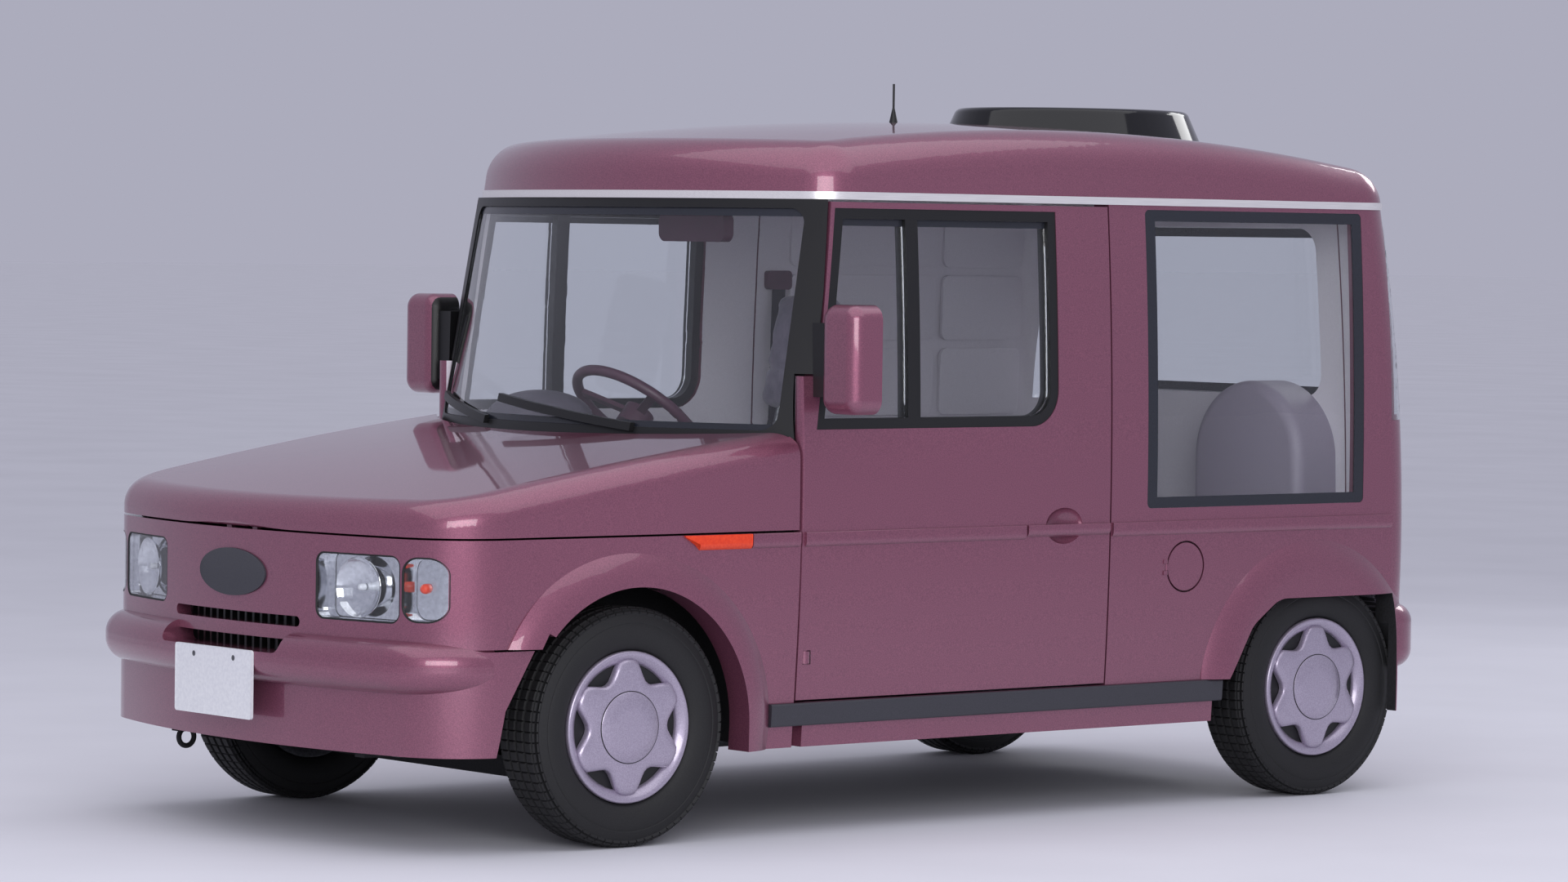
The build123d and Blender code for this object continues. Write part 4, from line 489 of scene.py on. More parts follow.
# sprayed coating, moulded linings and textiles: dull, and rougher the softer they are
underbody = moulded("underbody_coating", "141416", "222226", rough=0.8, grain_mm=5.0, deep_mm=0.6)
cabin_plastic = moulded("cabin_moulding", "cfc8d2", "ddd6e0", rough=0.55, grain_mm=2.5)
dash_plastic = moulded("dash_moulding", "4a4450", "585260", rough=0.6, grain_mm=2.5)
carpet = moulded("load_floor_carpet", "4c4852", "68636f", rough=0.95, grain_mm=4.0, deep_mm=1.5)
headlining = moulded("knitted_headlining", "b4aeb9", "c4bec9", rough=0.9, grain_mm=3.0, deep_mm=0.5)
belt_webbing = moulded("belt_webbing", "26232b", "34303a", rough=0.7, grain_mm=1.5)
spare_moulding = moulded("spare_wheel_cover_moulding", "8b8192", "9b91a2", rough=0.5, grain_mm=2.5)
plum_moulding = moulded("plum_cabin_moulding", "4b2c3e", "5d394d", rough=0.45, grain_mm=2.5)
dial_print = moulded("dial_print", "111114", "1a1a1e", rough=0.35, deep_mm=0.02)


def woven(name, dark, light, thread_mm):
    """Plain-woven seat cloth: two waves at right angles make the over and under of the threads."""
    finish = new_finish(name, Roughness=0.85, Sheen_Weight=0.35, Sheen_Roughness=0.5)
    place = add_node(finish, "TexCoord", {})
    spread(finish, 40.0, dark, light)
    warp, weft = (
        add_node(
            finish, "TexWave", {"Vector": place.outputs["Object"], "Scale": wave_scale(thread_mm)},
            bands_direction=axis,
        )
        for axis in ("X", "Z")
    )
    heights = {0: warp.outputs["Fac"], 1: weft.outputs["Fac"]}
    cross = add_node(finish, "Math", heights, operation="MULTIPLY")
    dent(finish, cross.outputs[0], deep_mm=0.8, strength=0.6)
    return finish


seat_cloth = woven("woven_seat_cloth", "6f6779", "857c8f", thread_mm=25.13)
print("inner finishes ready")

# %% [markdown]
# Floor, light and camera
#
# The photograph is a studio shot, with soft light and a plain floor that runs into the backdrop. Here a
# wide floor lies under an even sky. A large soft light hangs overhead, a stronger one stands at the front
# left, and a small one behind the car lifts its far edges. The sky that the camera sees has the colour of
# the far floor, so no horizon shows, and glass and paint reflect that colour too. The camera was solved
# from points of the photograph.

# %% Stage
FLOOR_COLOUR, SKY_COLOUR = "d3d3dd", "e6e6f0"
SKY = 0.80
bpy.ops.object.select_all(action="DESELECT")
bpy.ops.mesh.primitive_plane_add(size=400)
floor = named("studio_floor")
paper = new_finish("matt_floor_paint", Roughness=0.75)
spread(paper, 900.0, "d0d0da", "d6d6e0")
floor.data.materials.append(paper)

world = bpy.data.worlds.new("soft_sky")
scene.world = world
world.use_nodes = True
sky_nodes, sky_links = world.node_tree.nodes, world.node_tree.links
sky = sky_nodes["Background"]
sky.inputs["Color"].default_value = colour(SKY_COLOUR)
sky.inputs["Strength"].default_value = SKY
seen = sky_nodes.new("ShaderNodeBackground")
seen.inputs["Color"].default_value = [a * b for a, b in zip(colour(SKY_COLOUR), colour(FLOOR_COLOUR))]
seen.inputs["Strength"].default_value = SKY
path = sky_nodes.new("ShaderNodeLightPath")
pick = sky_nodes.new("ShaderNodeMixShader")
seen_by = path.outputs["Is Camera Ray"]
for ray in ("Is Transmission Ray", "Is Glossy Ray"):
    either = sky_nodes.new("ShaderNodeMath")
    either.operation = "MAXIMUM"
    sky_links.new(seen_by, either.inputs[0])
    sky_links.new(path.outputs[ray], either.inputs[1])
    seen_by = either.outputs[0]
for number, output in enumerate((seen_by, sky.outputs[0], seen.outputs[0])):
    sky_links.new(output, pick.inputs[number])
sky_links.new(pick.outputs[0], sky_nodes["World Output"].inputs["Surface"])

# name, place, target, size and power in watts
SOFT_LIGHTS = (
    ("overhead", (1.2, -0.6, 4.6), (0, 0, 0.8), (8.0, 6.0), 120),
    ("front_left", (6.5, -5.0, 2.6), (0, -0.2, 1.0), (5.0, 3.0), 230),
    ("rear_right", (-1.0, 7.5, 4.4), (0, 0.2, 0.9), (3.0, 2.0), 70),
)
for name, spot, target, size, power in SOFT_LIGHTS:
    lamp = bpy.data.lights.new(name, "AREA")
    lamp.shape = "RECTANGLE"
    lamp.size, lamp.size_y = size
    lamp.energy = power
    light = bpy.data.objects.new(name, lamp)
    light.location = spot
    light.rotation_euler = (Vector(target) - Vector(spot)).to_track_quat("-Z", "Y").to_euler()
    scene.collection.objects.link(light)
print("lights:", len(SOFT_LIGHTS))

# %% Camera
CAMERA_PLACE = Vector((10.836, -8.850, 1.449))
YAW, PITCH, ROLL = (math.radians(angle) for angle in (50.542, 2.128, 0.779))
lens = bpy.data.cameras.new("photo_camera")
lens.sensor_width = 36
lens.lens = 123.945
lens.clip_end = 1000
camera = bpy.data.objects.new("photo_camera", lens)
camera.matrix_world = (
    Matrix.Translation(CAMERA_PLACE)
    @ Matrix.Rotation(YAW, 4, "Z")
    @ Matrix.Rotation(math.pi / 2 - PITCH, 4, "X")
    @ Matrix.Rotation(ROLL, 4, "Z")
)
scene.collection.objects.link(camera)
scene.camera = camera
print("camera at", tuple(CAMERA_PLACE))

# %% [markdown]
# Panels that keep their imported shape
#
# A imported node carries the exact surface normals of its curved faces, so a painted panel already shines
# as it should. It only needs its finish. The table gives each node's finish; what isn't in it is
# modelled further down.

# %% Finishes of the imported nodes
NODE_FINISHES = {
    body_paint: (
        "front_panel", "bonnet", "rear_panel", "rockers", "front_bumper", "rear_bumper", "fuel_flap",
    ),
    black_trim: ("grille", "windscreen_frame", "door_frame_left", "door_frame_right", "antenna", "wipers"),
    bright_trim: ("roof_trim",),
    grey_moulding: ("sill_mouldings",),
    gloss_black: ("roof_dome",),
    underbody: ("front_subframe", "rear_axle", "fuel_tank", "knuckle_left", "knuckle_right"),
    cast_metal: ("engine_block",),
    steel: ("exhaust",),
    spare_moulding: ("spare_cover",),
    dash_plastic: ("dashboard",),
    plum_moulding: ("steering_wheel", "interior_mirror"),
}
for finish, members in NODE_FINISHES.items():
    for node in members:
        coat(nodes[node], finish)
print("nodes dressed:", sum(len(members) for members in NODE_FINISHES.values()))

# %% [markdown]
# Panels with two sides
#
# The roof, quarters, tailgate and floor are painted outside and trimmed inside. One solid makes both
# sides, so its mesh is copied and the faces that look into the cabin get the second finish. The copy
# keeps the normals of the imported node. A quarter's inner faces beside the wheel have the coating of the
# underbody instead. The eyes of the door hinges stand in the door's edge, so they are painted like the
# door.

# %% Roof, quarters, tailgate and floor
# cosines past which a wall's face looks into the cabin, and past which the roof's does
LOOKS_IN, LOOKS_DOWN = 0.5, 0.2
REAR_WALL_Y, LOAD_STEP_Y = 1.5, 0.8
WHEEL_ARCH_FRONT, WHEEL_ARCH_TOP = 0.90, 0.53
HINGE_PIN_X, HINGE_PIN_Y, HINGE_EYE_R = 0.738, -0.466, 0.016
REAR_AXLE_Y, REAR_AXLE_Z, TUB_R = 1.305, 0.2875, 0.333


def two_sided(node, body, slot, outside, inside, looks_in):
    """A copy of a node whose faces that look into the cabin have a second finish."""
    piece = node_copy(node, node + "_trimmed")
    coat(piece, outside, inside)
    for face in piece.data.polygons:
        face.material_index = int(looks_in(face.center, face.normal))
    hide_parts(node)
    return dress(piece, body, slot)


two_sided("roof", "shell", "body_paint", body_paint, headlining, lambda c, n: n.z < -LOOKS_DOWN)
for side, name in SIDES:
    quarter = two_sided(
        f"rear_quarter_{name}", "shell", "body_paint", body_paint, cabin_plastic,
        lambda c, n: n.x * side < -LOOKS_IN or (n.y < -LOOKS_IN and c.y > REAR_WALL_Y),
    )
    quarter.data.materials.append(underbody)
    for face in quarter.data.polygons:
        by_wheel = face.center.y > WHEEL_ARCH_FRONT and face.center.z < WHEEL_ARCH_TOP
        if by_wheel and face.material_index:
            face.material_index = 2
two_sided("tailgate", "rear_gate", "body_paint", body_paint, cabin_plastic, lambda c, n: n.y < -LOOKS_IN)
two_sided(
    "floor_pan", "shell", "underbody", underbody, carpet,
    lambda c, n: n.z > LOOKS_IN or (n.y < -LOOKS_IN and c.y > LOAD_STEP_Y),
)
two_sided(
    "engine_bay", "shell", "underbody", underbody, body_paint,
    lambda c, n: math.hypot(abs(c.x) - HINGE_PIN_X, c.y - HINGE_PIN_Y) < HINGE_EYE_R,
)
two_sided(
    "wheel_tubs", "shell", "underbody", underbody, carpet,
    lambda c, n: math.hypot(c.y - REAR_AXLE_Y, c.z - REAR_AXLE_Z) > TUB_R or n.x * c.x < 0,
)
print("two-sided panels made")

# %% [markdown]
# Belt moulding, door handles and repeaters
#
# A rounded moulding runs along the side below the windows. Its top edge is crisp and its lower edge
# fades into the door, so a plain bar gets a small bevel above and a wide one below. The door handle is
# a thicker length of the same bar over a dish pressed in the door skin, and the amber side repeater
# fills its front end on the wing.

# %% Belt moulding
BAND_LOW, BAND_TOP = 0.703, 0.7415
# the skin's distance from the middle of the car, how far the bar stands out of it, and how deep it is set
BAND_SKIN, BAND_PROUD, BAND_ROOT = 0.756, 0.0075, 0.012
BAND_FADE, BAND_CRISP = 0.008, 0.003
# room for rounding where a face, edge or point is picked by its place
HAIR = 0.001
# name, body, and where it starts and ends along the car
BAND_RUNS = (
    ("wing", "shell", -0.649, -0.500),
    ("door", "door", -0.483, 0.236),
    ("quarter", "shell", 0.533, 1.548),
)


def moulding(name, start, end, proud, low=BAND_LOW):
    """A left-hand length of the belt moulding, with its lower edge faded out."""
    bar = add_box(name, (BAND_SKIN - BAND_ROOT, start, low), (BAND_SKIN + proud, end, BAND_TOP))

    def outer(place, edge):
        return runs_along(edge, Y) and place.x > BAND_SKIN

    bevel(bar, lambda c, e: outer(c, e) and c.z < BAND_TOP - HAIR, proud + BAND_FADE, segments=8)
    bevel(bar, lambda c, e: outer(c, e) and c.z > BAND_TOP - HAIR, BAND_CRISP, segments=3)
    smooth(bar, 50)
    return bar


def both_sides(piece, name, body):
    """A left-hand piece and its mirror image, each with the body that carries it."""
    twin = copied(piece, name + "_right", MIRROR_X)
    piece.name = piece.data.name = name + "_left"
    bodies = ("shell", "shell") if body == "shell" else (f"left_{body}", f"right_{body}")
    return (piece, bodies[0]), (twin, bodies[1])


for part, body, start, end in BAND_RUNS:
    for piece, carrier in both_sides(moulding("bar", start, end, BAND_PROUD), f"belt_{part}", body):
        dress(piece, carrier, "body_paint", body_paint)

# %% Amber repeaters
REPEATER_FRONT, REPEATER_REAR = -0.858, -0.652
# below the crease, the front end slants back
REPEATER_CREASE, REPEATER_SLANT = 0.73, 0.045
repeater = moulding("bar", REPEATER_FRONT, REPEATER_REAR, BAND_PROUD + HAIR)
choose(repeater, "VERT", lambda c, v: c.y < REPEATER_FRONT + HAIR and c.z < REPEATER_CREASE)
bpy.ops.transform.translate(value=(0, REPEATER_SLANT, 0))
close_edit()
for piece, carrier in both_sides(repeater, "repeater", "shell"):
    dress(piece, carrier, "lamp_glass", amber_block)

# %% Door skins with a dish behind the handle
HANDLE_FRONT, HANDLE_REAR = 0.240, 0.520
HANDLE_LOW, HANDLE_PROUD = 0.709, 0.011
DISH = (0.762, 0.368, 0.737)
DISH_HALF = (0.024, 0.064, 0.047)
dish = add_ball("dish_cutter", DISH, DISH_HALF)
for side, name in SIDES:
    door = merged(node_copy(f"door_{name}", f"door_{name}_trimmed"))
    cutter = copied(dish, "dish_cutter_" + name, Matrix() if side > 0 else MIRROR_X)
    apply_modifier(door, "BOOLEAN", object=cutter, operation="DIFFERENCE", solver="EXACT")
    discard(cutter)
    smooth(door, 25)
    coat(door, body_paint, cabin_plastic)
    for face in door.data.polygons:
        face.material_index = int(face.normal.x * side < -LOOKS_IN)
    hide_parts(f"door_{name}")
    dress(door, f"{name}_door", "body_paint")
discard(dish)
handle = moulding("bar", HANDLE_FRONT, HANDLE_REAR, HANDLE_PROUD, HANDLE_LOW)
for piece, carrier in both_sides(handle, "door_handle", "door"):
    dress(piece, carrier, "body_paint", body_paint)
print("belt moulding, repeaters and handles made")

# %% [markdown]
# Tyres
#
# A road tyre is a turned shape with a pattern of tread blocks. The casing is turned ring by ring about the
# axle, with three grooves round it; then each patch of the tread is inset and lifted by itself, which
# leaves the cross grooves between the blocks. One tyre is modelled and copied to the other wheels.

# %% Tyre
WHEEL_LOW, WHEEL_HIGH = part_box("tyre_front_left")
WHEEL = (WHEEL_LOW + WHEEL_HIGH) / 2
TYRE_R = (WHEEL_HIGH.z - WHEEL_LOW.z) / 2
BLOCK, BLOCK_LIFT, BLOCK_EDGE = 0.0062, 0.0058, 0.0022
TREAD_R = TYRE_R - BLOCK
GROOVE_R = TREAD_R - 0.004
# distance from the tyre's middle and radius, from the bead to the middle groove
HALF_CASING = (
    (0.050, 0.1665), (0.0515, 0.1815), (0.058, 0.1835), (0.066, 0.190), (0.0735, 0.203), (0.0775, 0.218),
    (0.0785, 0.230), (0.0772, 0.243), (0.0752, 0.2475), (0.0764, 0.2500), (0.0738, 0.2600),
    (0.0700, 0.2695), (0.0655, 0.2755), (0.058, TREAD_R), (0.034, TREAD_R), (0.0325, GROOVE_R),
    (0.0285, GROOVE_R), (0.027, TREAD_R), (0.0035, TREAD_R), (0.0028, GROOVE_R),
)
# distances from the tyre's middle that the three grooves take up
MIDDLE_GROOVE, SIDE_GROOVE = 0.003, (0.0275, 0.0335)
SHOULDER_R, SMALLEST_PATCH = 0.272, 0.0001
inner_half = [(-along, radius) for along, radius in reversed(HALF_CASING)]
casing = [*HALF_CASING, *inner_half, HALF_CASING[0]]
tyre = turned("tyre", casing, WHEEL, steps=72)


def off_axle(place):
    """Distance from the front left wheel's axle."""
    return math.hypot(place.y - WHEEL.y, place.z - WHEEL.z)


def is_patch(place, face):
    """True for a patch of tread between the grooves."""
    across = abs(place.x - WHEEL.x)
    in_groove = across <= MIDDLE_GROOVE or SIDE_GROOVE[0] < across < SIDE_GROOVE[1]
    return off_axle(place) > SHOULDER_R and face.calc_area() > SMALLEST_PATCH and not in_groove


choose(tyre, "FACE", is_patch)
bpy.ops.mesh.inset(thickness=BLOCK_EDGE, depth=BLOCK_LIFT, use_individual=True)
close_edit()
smooth(tyre, 40)
reach = max(off_axle(vertex.co) for vertex in tyre.data.vertices)
print("tyre faces:", len(tyre.data.polygons), "radius:", round(reach, 4))

# %% [markdown]
# Wheels
#
# Each steel rim carries a lilac-silver cover: a dished outer ring, a star with six rounded lobes, and a
# plain disc in its middle. The star starts as a flat circle. Its vertices are drawn in towards the middle
# between the lobes, then the outline is raised and its top inset in three steps to round it over.

# %% Rim and cover
RIM_PROFILE = (
    (-0.022, 0.058), (0.034, 0.060), (0.034, 0.155), (-0.056, 0.155), (-0.063, 0.174), (-0.064, 0.180),
    (-0.060, 0.1815), (-0.053, 0.180), (-0.052, 0.166), (0.046, 0.166), (0.047, 0.180), (0.052, 0.181),
    (0.052, 0.160), (0.044, 0.150), (0.042, 0.024),
)
RING_PROFILE = (
    (0.050, 0.180), (0.059, 0.1825), (0.066, 0.1822), (0.0695, 0.1795), (0.0702, 0.1755), (0.0675, 0.1690),
    (0.0620, 0.1610), (0.0560, 0.1545), (0.0500, 0.1510), (0.0470, 0.1510), (0.0450, 0.1700), (0.050, 0.180),
)
DISC_PROFILE = ((0.060, 0.0850), (0.0722, 0.0850), (0.0735, 0.0835), (0.0745, 0.040), (0.0747, 0.002))
GROOVE_PROFILE = ((0.060, 0.0872), (0.0713, 0.0872), (0.0713, 0.0840))
BACKING_PROFILE = ((0.046, 0.165), (0.0475, 0.165), (0.0475, 0.01))
# angle from a lobe's middle in degrees, and how far out the star reaches there
STAR_OUTLINE = ((0, 0.162), (5, 0.1615), (10, 0.157), (15, 0.142), (20, 0.129), (25, 0.1205), (30, 0.118))
STAR_LOBES, STAR_STEPS = 6, 72
STAR_BACK, STAR_RISE = 0.049, 0.0145
# width and lift of each inset that rounds the star over
STAR_ROUNDING = ((0.0025, 0.0035), (0.006, 0.003), (0.012, 0.0008))

rim = turned("rim", RIM_PROFILE, WHEEL)
smooth(rim)
ring = turned("ring", RING_PROFILE, WHEEL, steps=96)
disc = turned("disc", DISC_PROFILE, WHEEL)
groove = turned("groove", GROOVE_PROFILE, WHEEL)
backing = turned("backing", BACKING_PROFILE, WHEEL)
bpy.ops.object.select_all(action="DESELECT")
bpy.ops.mesh.primitive_circle_add(
    vertices=STAR_STEPS, radius=1, fill_type="NGON", location=WHEEL + Vector((STAR_BACK, 0, 0)),
    rotation=AXIS_TURN["X"],
)
star = named("star")


def from_lobe(place):
    """Angle from the nearest lobe's middle, in degrees; the first lobe points straight up."""
    turn = math.degrees(math.atan2(place.y - WHEEL.y, place.z - WHEEL.z)) % (360 / STAR_LOBES)
    return min(turn, 360 / STAR_LOBES - turn)


for angle, reach in STAR_OUTLINE:
    # a vertex that still lies on the first circle hasn't been drawn in yet
    choose(star, "VERT", lambda c, v: abs(from_lobe(c) - angle) < 1 and off_axle(c) > 0.99)
    bpy.ops.transform.resize(value=(1, reach, reach), center_override=WHEEL)
    close_edit()
choose(star, "FACE", every)
bpy.ops.mesh.extrude_region_move(TRANSFORM_OT_translate={"value": (STAR_RISE, 0, 0)})
for thickness, lift in STAR_ROUNDING:
    bpy.ops.mesh.inset(thickness=thickness, depth=lift)
bpy.ops.mesh.select_all(action="SELECT")
bpy.ops.mesh.normals_make_consistent(inside=False)
close_edit()
painted, blackened = (star, ring, disc), (backing, groove)
for piece in painted + blackened:
    smooth(piece, 45)
    coat(piece, cover_paint if piece in painted else black_trim)
cover = joined(painted + blackened, "cover")
print("wheel cover faces:", len(cover.data.polygons))

# %% Four wheels
for place in ("front", "rear"):
    for side in ("left", "right"):
        low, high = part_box(f"tyre_{place}_{side}")
        move = Matrix.Translation((low + high) / 2)
        half_turn = Matrix.Rotation(math.pi, 4, "Z") if side == "right" else Matrix()
        there = move @ half_turn @ Matrix.Translation(-WHEEL)
        body = f"{place}_{side}_wheel"
        piece = copied(tyre, f"tyre_{place}_{side}_tread", there)
        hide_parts(f"tyre_{place}_{side}")
        dress(piece, body, "tyre", tyre_rubber)
        piece = copied(rim, f"rim_{place}_{side}", there)
        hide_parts(f"wheel_{place}_{side}")
        dress(piece, body, "steel", steel)
        dress(copied(cover, f"wheel_cover_{place}_{side}", there), body, "wheel_cover")
discard(tyre, rim, cover)
print("wheels made")

# %% [markdown]
# Windows
#
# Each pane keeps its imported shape. The big quarter pane, the tailgate pane and the windscreen carry a dark
# print along their edges, which hides the glue on a real car, and the door panes carry one along the top.
# The pane is bisected along the print's edges, so the print is a clean strip of faces with its own finish.

# %% Panes


def pane(node, body, cuts, is_printed):
    """A copy of a pane, cut along straight lines, whose edge strips carry a dark print."""
    glass = merged(node_copy(node, node + "_pane"))
    slice_across(glass, cuts)
    smooth(glass, 30)
    coat(glass, window_glass, window_print)
    for face in glass.data.polygons:
        face.material_index = int(is_printed(face.center))
    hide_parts(node)
    return dress(glass, body, "glass")


# the slim corner panes behind CORNER_Y have no print
PRINT_Y, PRINT_Z, CORNER_Y = (0.690, 1.405), (0.803, 1.511), 1.5
pane(
    "rear_side_glass", "shell", [(Y, y) for y in PRINT_Y] + [(Z, z) for z in PRINT_Z],
    lambda c: c.y < CORNER_Y and not (PRINT_Y[0] < c.y < PRINT_Y[1] and PRINT_Z[0] < c.z < PRINT_Z[1]),
)
GATE_X, GATE_Z = 0.430, (1.070, 1.475)
pane(
    "tailgate_glass", "rear_gate", [(X, GATE_X), (X, -GATE_X)] + [(Z, z) for z in GATE_Z],
    lambda c: not (abs(c.x) < GATE_X and GATE_Z[0] < c.z < GATE_Z[1]),
)
SCREEN_Z = (1.000, 1.508)
pane(
    "windscreen", "shell", [(Z, z) for z in SCREEN_Z], lambda c: not SCREEN_Z[0] < c.z < SCREEN_Z[1]
)
DOOR_Z = 1.487
for side in ("left", "right"):
    pane(f"door_glass_{side}", f"{side}_door", [(Z, DOOR_Z)], lambda c: c.z > DOOR_Z)
print("panes made")

# %% [markdown]
# Lamps
#
# A lamp is a thin fluted glass in front of a plated housing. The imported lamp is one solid, so its front
# faces become the glass, with a wall of 3 mm, and its other faces become the housing. The headlamps get a
# turned reflector and a bulb. A rubber cord runs round each glass: it is the glass's open edge, made a round
# tube.

# %% Glass, housing and rubber cord
LENS_WALL, HOUSING_WALL = 0.003, 0.002
FRONT_CORD_R, REAR_CORD_R = 0.0034, 0.003
# cosine past which a lamp's face belongs to its glass
LENS_FACING = 0.35
# heights at which the rear lens changes from red to clear and from clear to amber
REAR_LENS_SPLITS = (0.615, 0.675)


def lamp_unit(node, faces_out, body):
    """The glass of a lamp as an open sheet and its plated housing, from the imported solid."""
    glass = merged(node_copy(node, node + "_glass"))
    housing = copied(glass, node + "_housing", Matrix())
    delete_faces(glass, lambda c, f: f.normal.y * faces_out < LENS_FACING)
    delete_faces(housing, lambda c, f: f.normal.y * faces_out >= LENS_FACING)
    apply_modifier(housing, "SOLIDIFY", thickness=HOUSING_WALL, offset=-1)
    smooth(housing, 40)
    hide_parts(node)
    dress(housing, body, "steel", chrome)
    return glass


def rim_cord(sheet, name, radius):
    """A round cord along the open edges of a sheet."""
    base = copied(sheet, name + "_base", Matrix())
    choose(base, "EDGE", lambda c, e: e.is_boundary)
    bpy.ops.mesh.duplicate()
    bpy.ops.mesh.separate(type="SELECTED")
    close_edit()
    cord = next(piece for piece in bpy.context.selected_objects if piece is not base)
    discard(base)
    only(cord)
    bpy.ops.object.convert(target="CURVE")
    cord.data.bevel_depth = radius
    cord.data.bevel_resolution = 2
    bpy.ops.object.convert(target="MESH")
    cord.name = cord.data.name = name
    smooth(cord, 60)
    return cord


def lens_of(sheet):
    """Gives a lamp's glass its wall."""
    apply_modifier(sheet, "SOLIDIFY", thickness=LENS_WALL, offset=-1)
    smooth(sheet, 30)
    return sheet


front_glass = lamp_unit("front_lamps", -1, "shell")
dress(rim_cord(front_glass, "front_lamp_cords", FRONT_CORD_R), "shell", "black_trim", gasket_rubber)
dress(lens_of(front_glass), "shell", "lamp_glass", lamp_glass)
rear_glass = lamp_unit("rear_lamps", 1, "shell")
dress(rim_cord(rear_glass, "rear_lamp_cords", REAR_CORD_R), "shell", "black_trim", gasket_rubber)
slice_across(rear_glass, [(Z, height) for height in REAR_LENS_SPLITS])
coat(rear_glass, red_lens, lamp_glass, amber_lens)
for face in rear_glass.data.polygons:
    face.material_index = sum(face.center.z > height for height in REAR_LENS_SPLITS)
dress(lens_of(rear_glass), "shell", "red_lens")

# %% Reflectors and bulbs
# the nose is an arc of this radius, seen from above
NOSE_ARC, NOSE_Y = 2.240, -1.639
HEADLAMP_X, LAMP_Z = 0.452, 0.623
HEADLAMP_Y = NOSE_Y + NOSE_ARC - math.sqrt(NOSE_ARC**2 - HEADLAMP_X**2)
HEADLAMP_LEAN = math.asin(HEADLAMP_X / NOSE_ARC)
BOWL_BEHIND_GLASS = 0.0056
INDICATOR_X, INDICATOR_Y, INDICATOR_RISE, INDICATOR_LEAN = 0.634, -1.5335, 0.004, 0.53
# how much longer and thicker the indicator's bulb is than the headlamp's
LONGER, THICKER = 1.3, 1.5
BOWL = (
    (0.0, 0.071), (0.002, 0.069), (0.009, 0.0635), (0.015, 0.054), (0.0195, 0.042), (0.0225, 0.027),
    (0.0235, 0.012),
)
BULB = ((0.021, 0.008), (0.010, 0.008), (0.0055, 0.0068), (0.0035, 0.0045), (0.003, 0.0015))
bowl = turned("bowl", BOWL, (0, 0, 0), axis="Y", steps=48)
delete_faces(bowl, lambda c, f: abs(c.y) < HAIR / 2)
apply_modifier(bowl, "SOLIDIFY", thickness=0.0012, offset=1)
bulb = turned("bulb", BULB, (0, 0, 0), axis="Y", steps=24)
for piece, finish in ((bowl, chrome), (bulb, plate_paint)):
    smooth(piece, 50)
    coat(piece, finish)
reflector = joined([bowl, bulb], "reflector")
wink_profile = [(along * LONGER, radius * THICKER) for along, radius in BULB]
wink = turned("indicator_bulb", wink_profile, (0, 0, 0), axis="Y", steps=24)
smooth(wink, 50)
for side, name in SIDES:
    spot = Vector((
        side * (HEADLAMP_X - BOWL_BEHIND_GLASS * math.sin(HEADLAMP_LEAN)),
        HEADLAMP_Y + BOWL_BEHIND_GLASS * math.cos(HEADLAMP_LEAN),
        LAMP_Z,
    ))
    there = Matrix.Translation(spot) @ Matrix.Rotation(side * HEADLAMP_LEAN, 4, "Z")
    dress(copied(reflector, f"reflector_{name}", there), "shell", "steel")
    spot = (side * INDICATOR_X, INDICATOR_Y, LAMP_Z + INDICATOR_RISE)
    there = Matrix.Translation(spot) @ Matrix.Rotation(side * INDICATOR_LEAN, 4, "Z")
    dress(copied(wink, f"indicator_bulb_{name}", there), "shell", "lamp_glass", amber_block)
discard(reflector, wink)
print("lamps made")

# %% [markdown]
# Badge, number plates and mirrors
#
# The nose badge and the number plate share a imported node, so each is a copy with the other's faces deleted.
# Both stay bare. The plate's face is inset, which leaves a pressed rim round it, and two bolts hold it. A
# door mirror has a painted shell, a black foot and a silvered face set into its rear.

# %% Badge and plates
# height between the plate and the badge above it
BADGE_FOOT = 0.52
BADGE_RIM, PLATE_RIM, RIM_DEEP = 0.004, 0.005, 0.0012
# cosine past which a face of the badge or the plate looks forward
NOSE_FACING = 0.6
for name, keep, edge, finish, slot in (
    ("nose_badge", lambda c: c.z > BADGE_FOOT, BADGE_RIM, grey_moulding, "grey_moulding"),
    ("front_plate", lambda c: c.z < BADGE_FOOT, PLATE_RIM, plate_paint, "plate"),
):
    piece = merged(node_copy("front_plates", name))
    delete_faces(piece, lambda c, f: not keep(c))
    inset(piece, lambda c, f: f.normal.y < -NOSE_FACING, edge, -RIM_DEEP)
    smooth(piece, 30)
    dress(piece, "shell", slot, finish)
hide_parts("front_plates")
rear_plate = add_box("rear_plate", (-0.165, 1.6455, 0.558), (0.165, 1.6480, 0.723))
bevel(rear_plate, lambda c, e: runs_along(e, Y), 0.008, segments=4)
inset(rear_plate, lambda c, f: f.normal.y > FACING, PLATE_RIM, -RIM_DEEP)
smooth(rear_plate, 30)
dress(rear_plate, "rear_gate", "plate", plate_paint)

# %% Plate bolts
BOLT = ((0.0, 0.0075), (0.0012, 0.0072), (0.0022, 0.0045), (0.0025, 0.001))
BOLT_X = 0.085
# plate, body, which way it faces, and where its bolts' heads sit
BOLT_SPOTS = (("front", "shell", -1, -1.6925, 0.436), ("rear", "rear_gate", 1, 1.6468, 0.700))
for name, body, out, face_y, height in BOLT_SPOTS:
    profile = [(out * along, radius) for along, radius in BOLT]
    for side in (-1, 1):
        spot = (side * BOLT_X, face_y, height)
        bolt = turned(f"plate_bolt_{name}_{side + 1}", profile, spot, axis="Y", steps=16)
        smooth(bolt, 50)
        dress(bolt, body, "steel", steel)

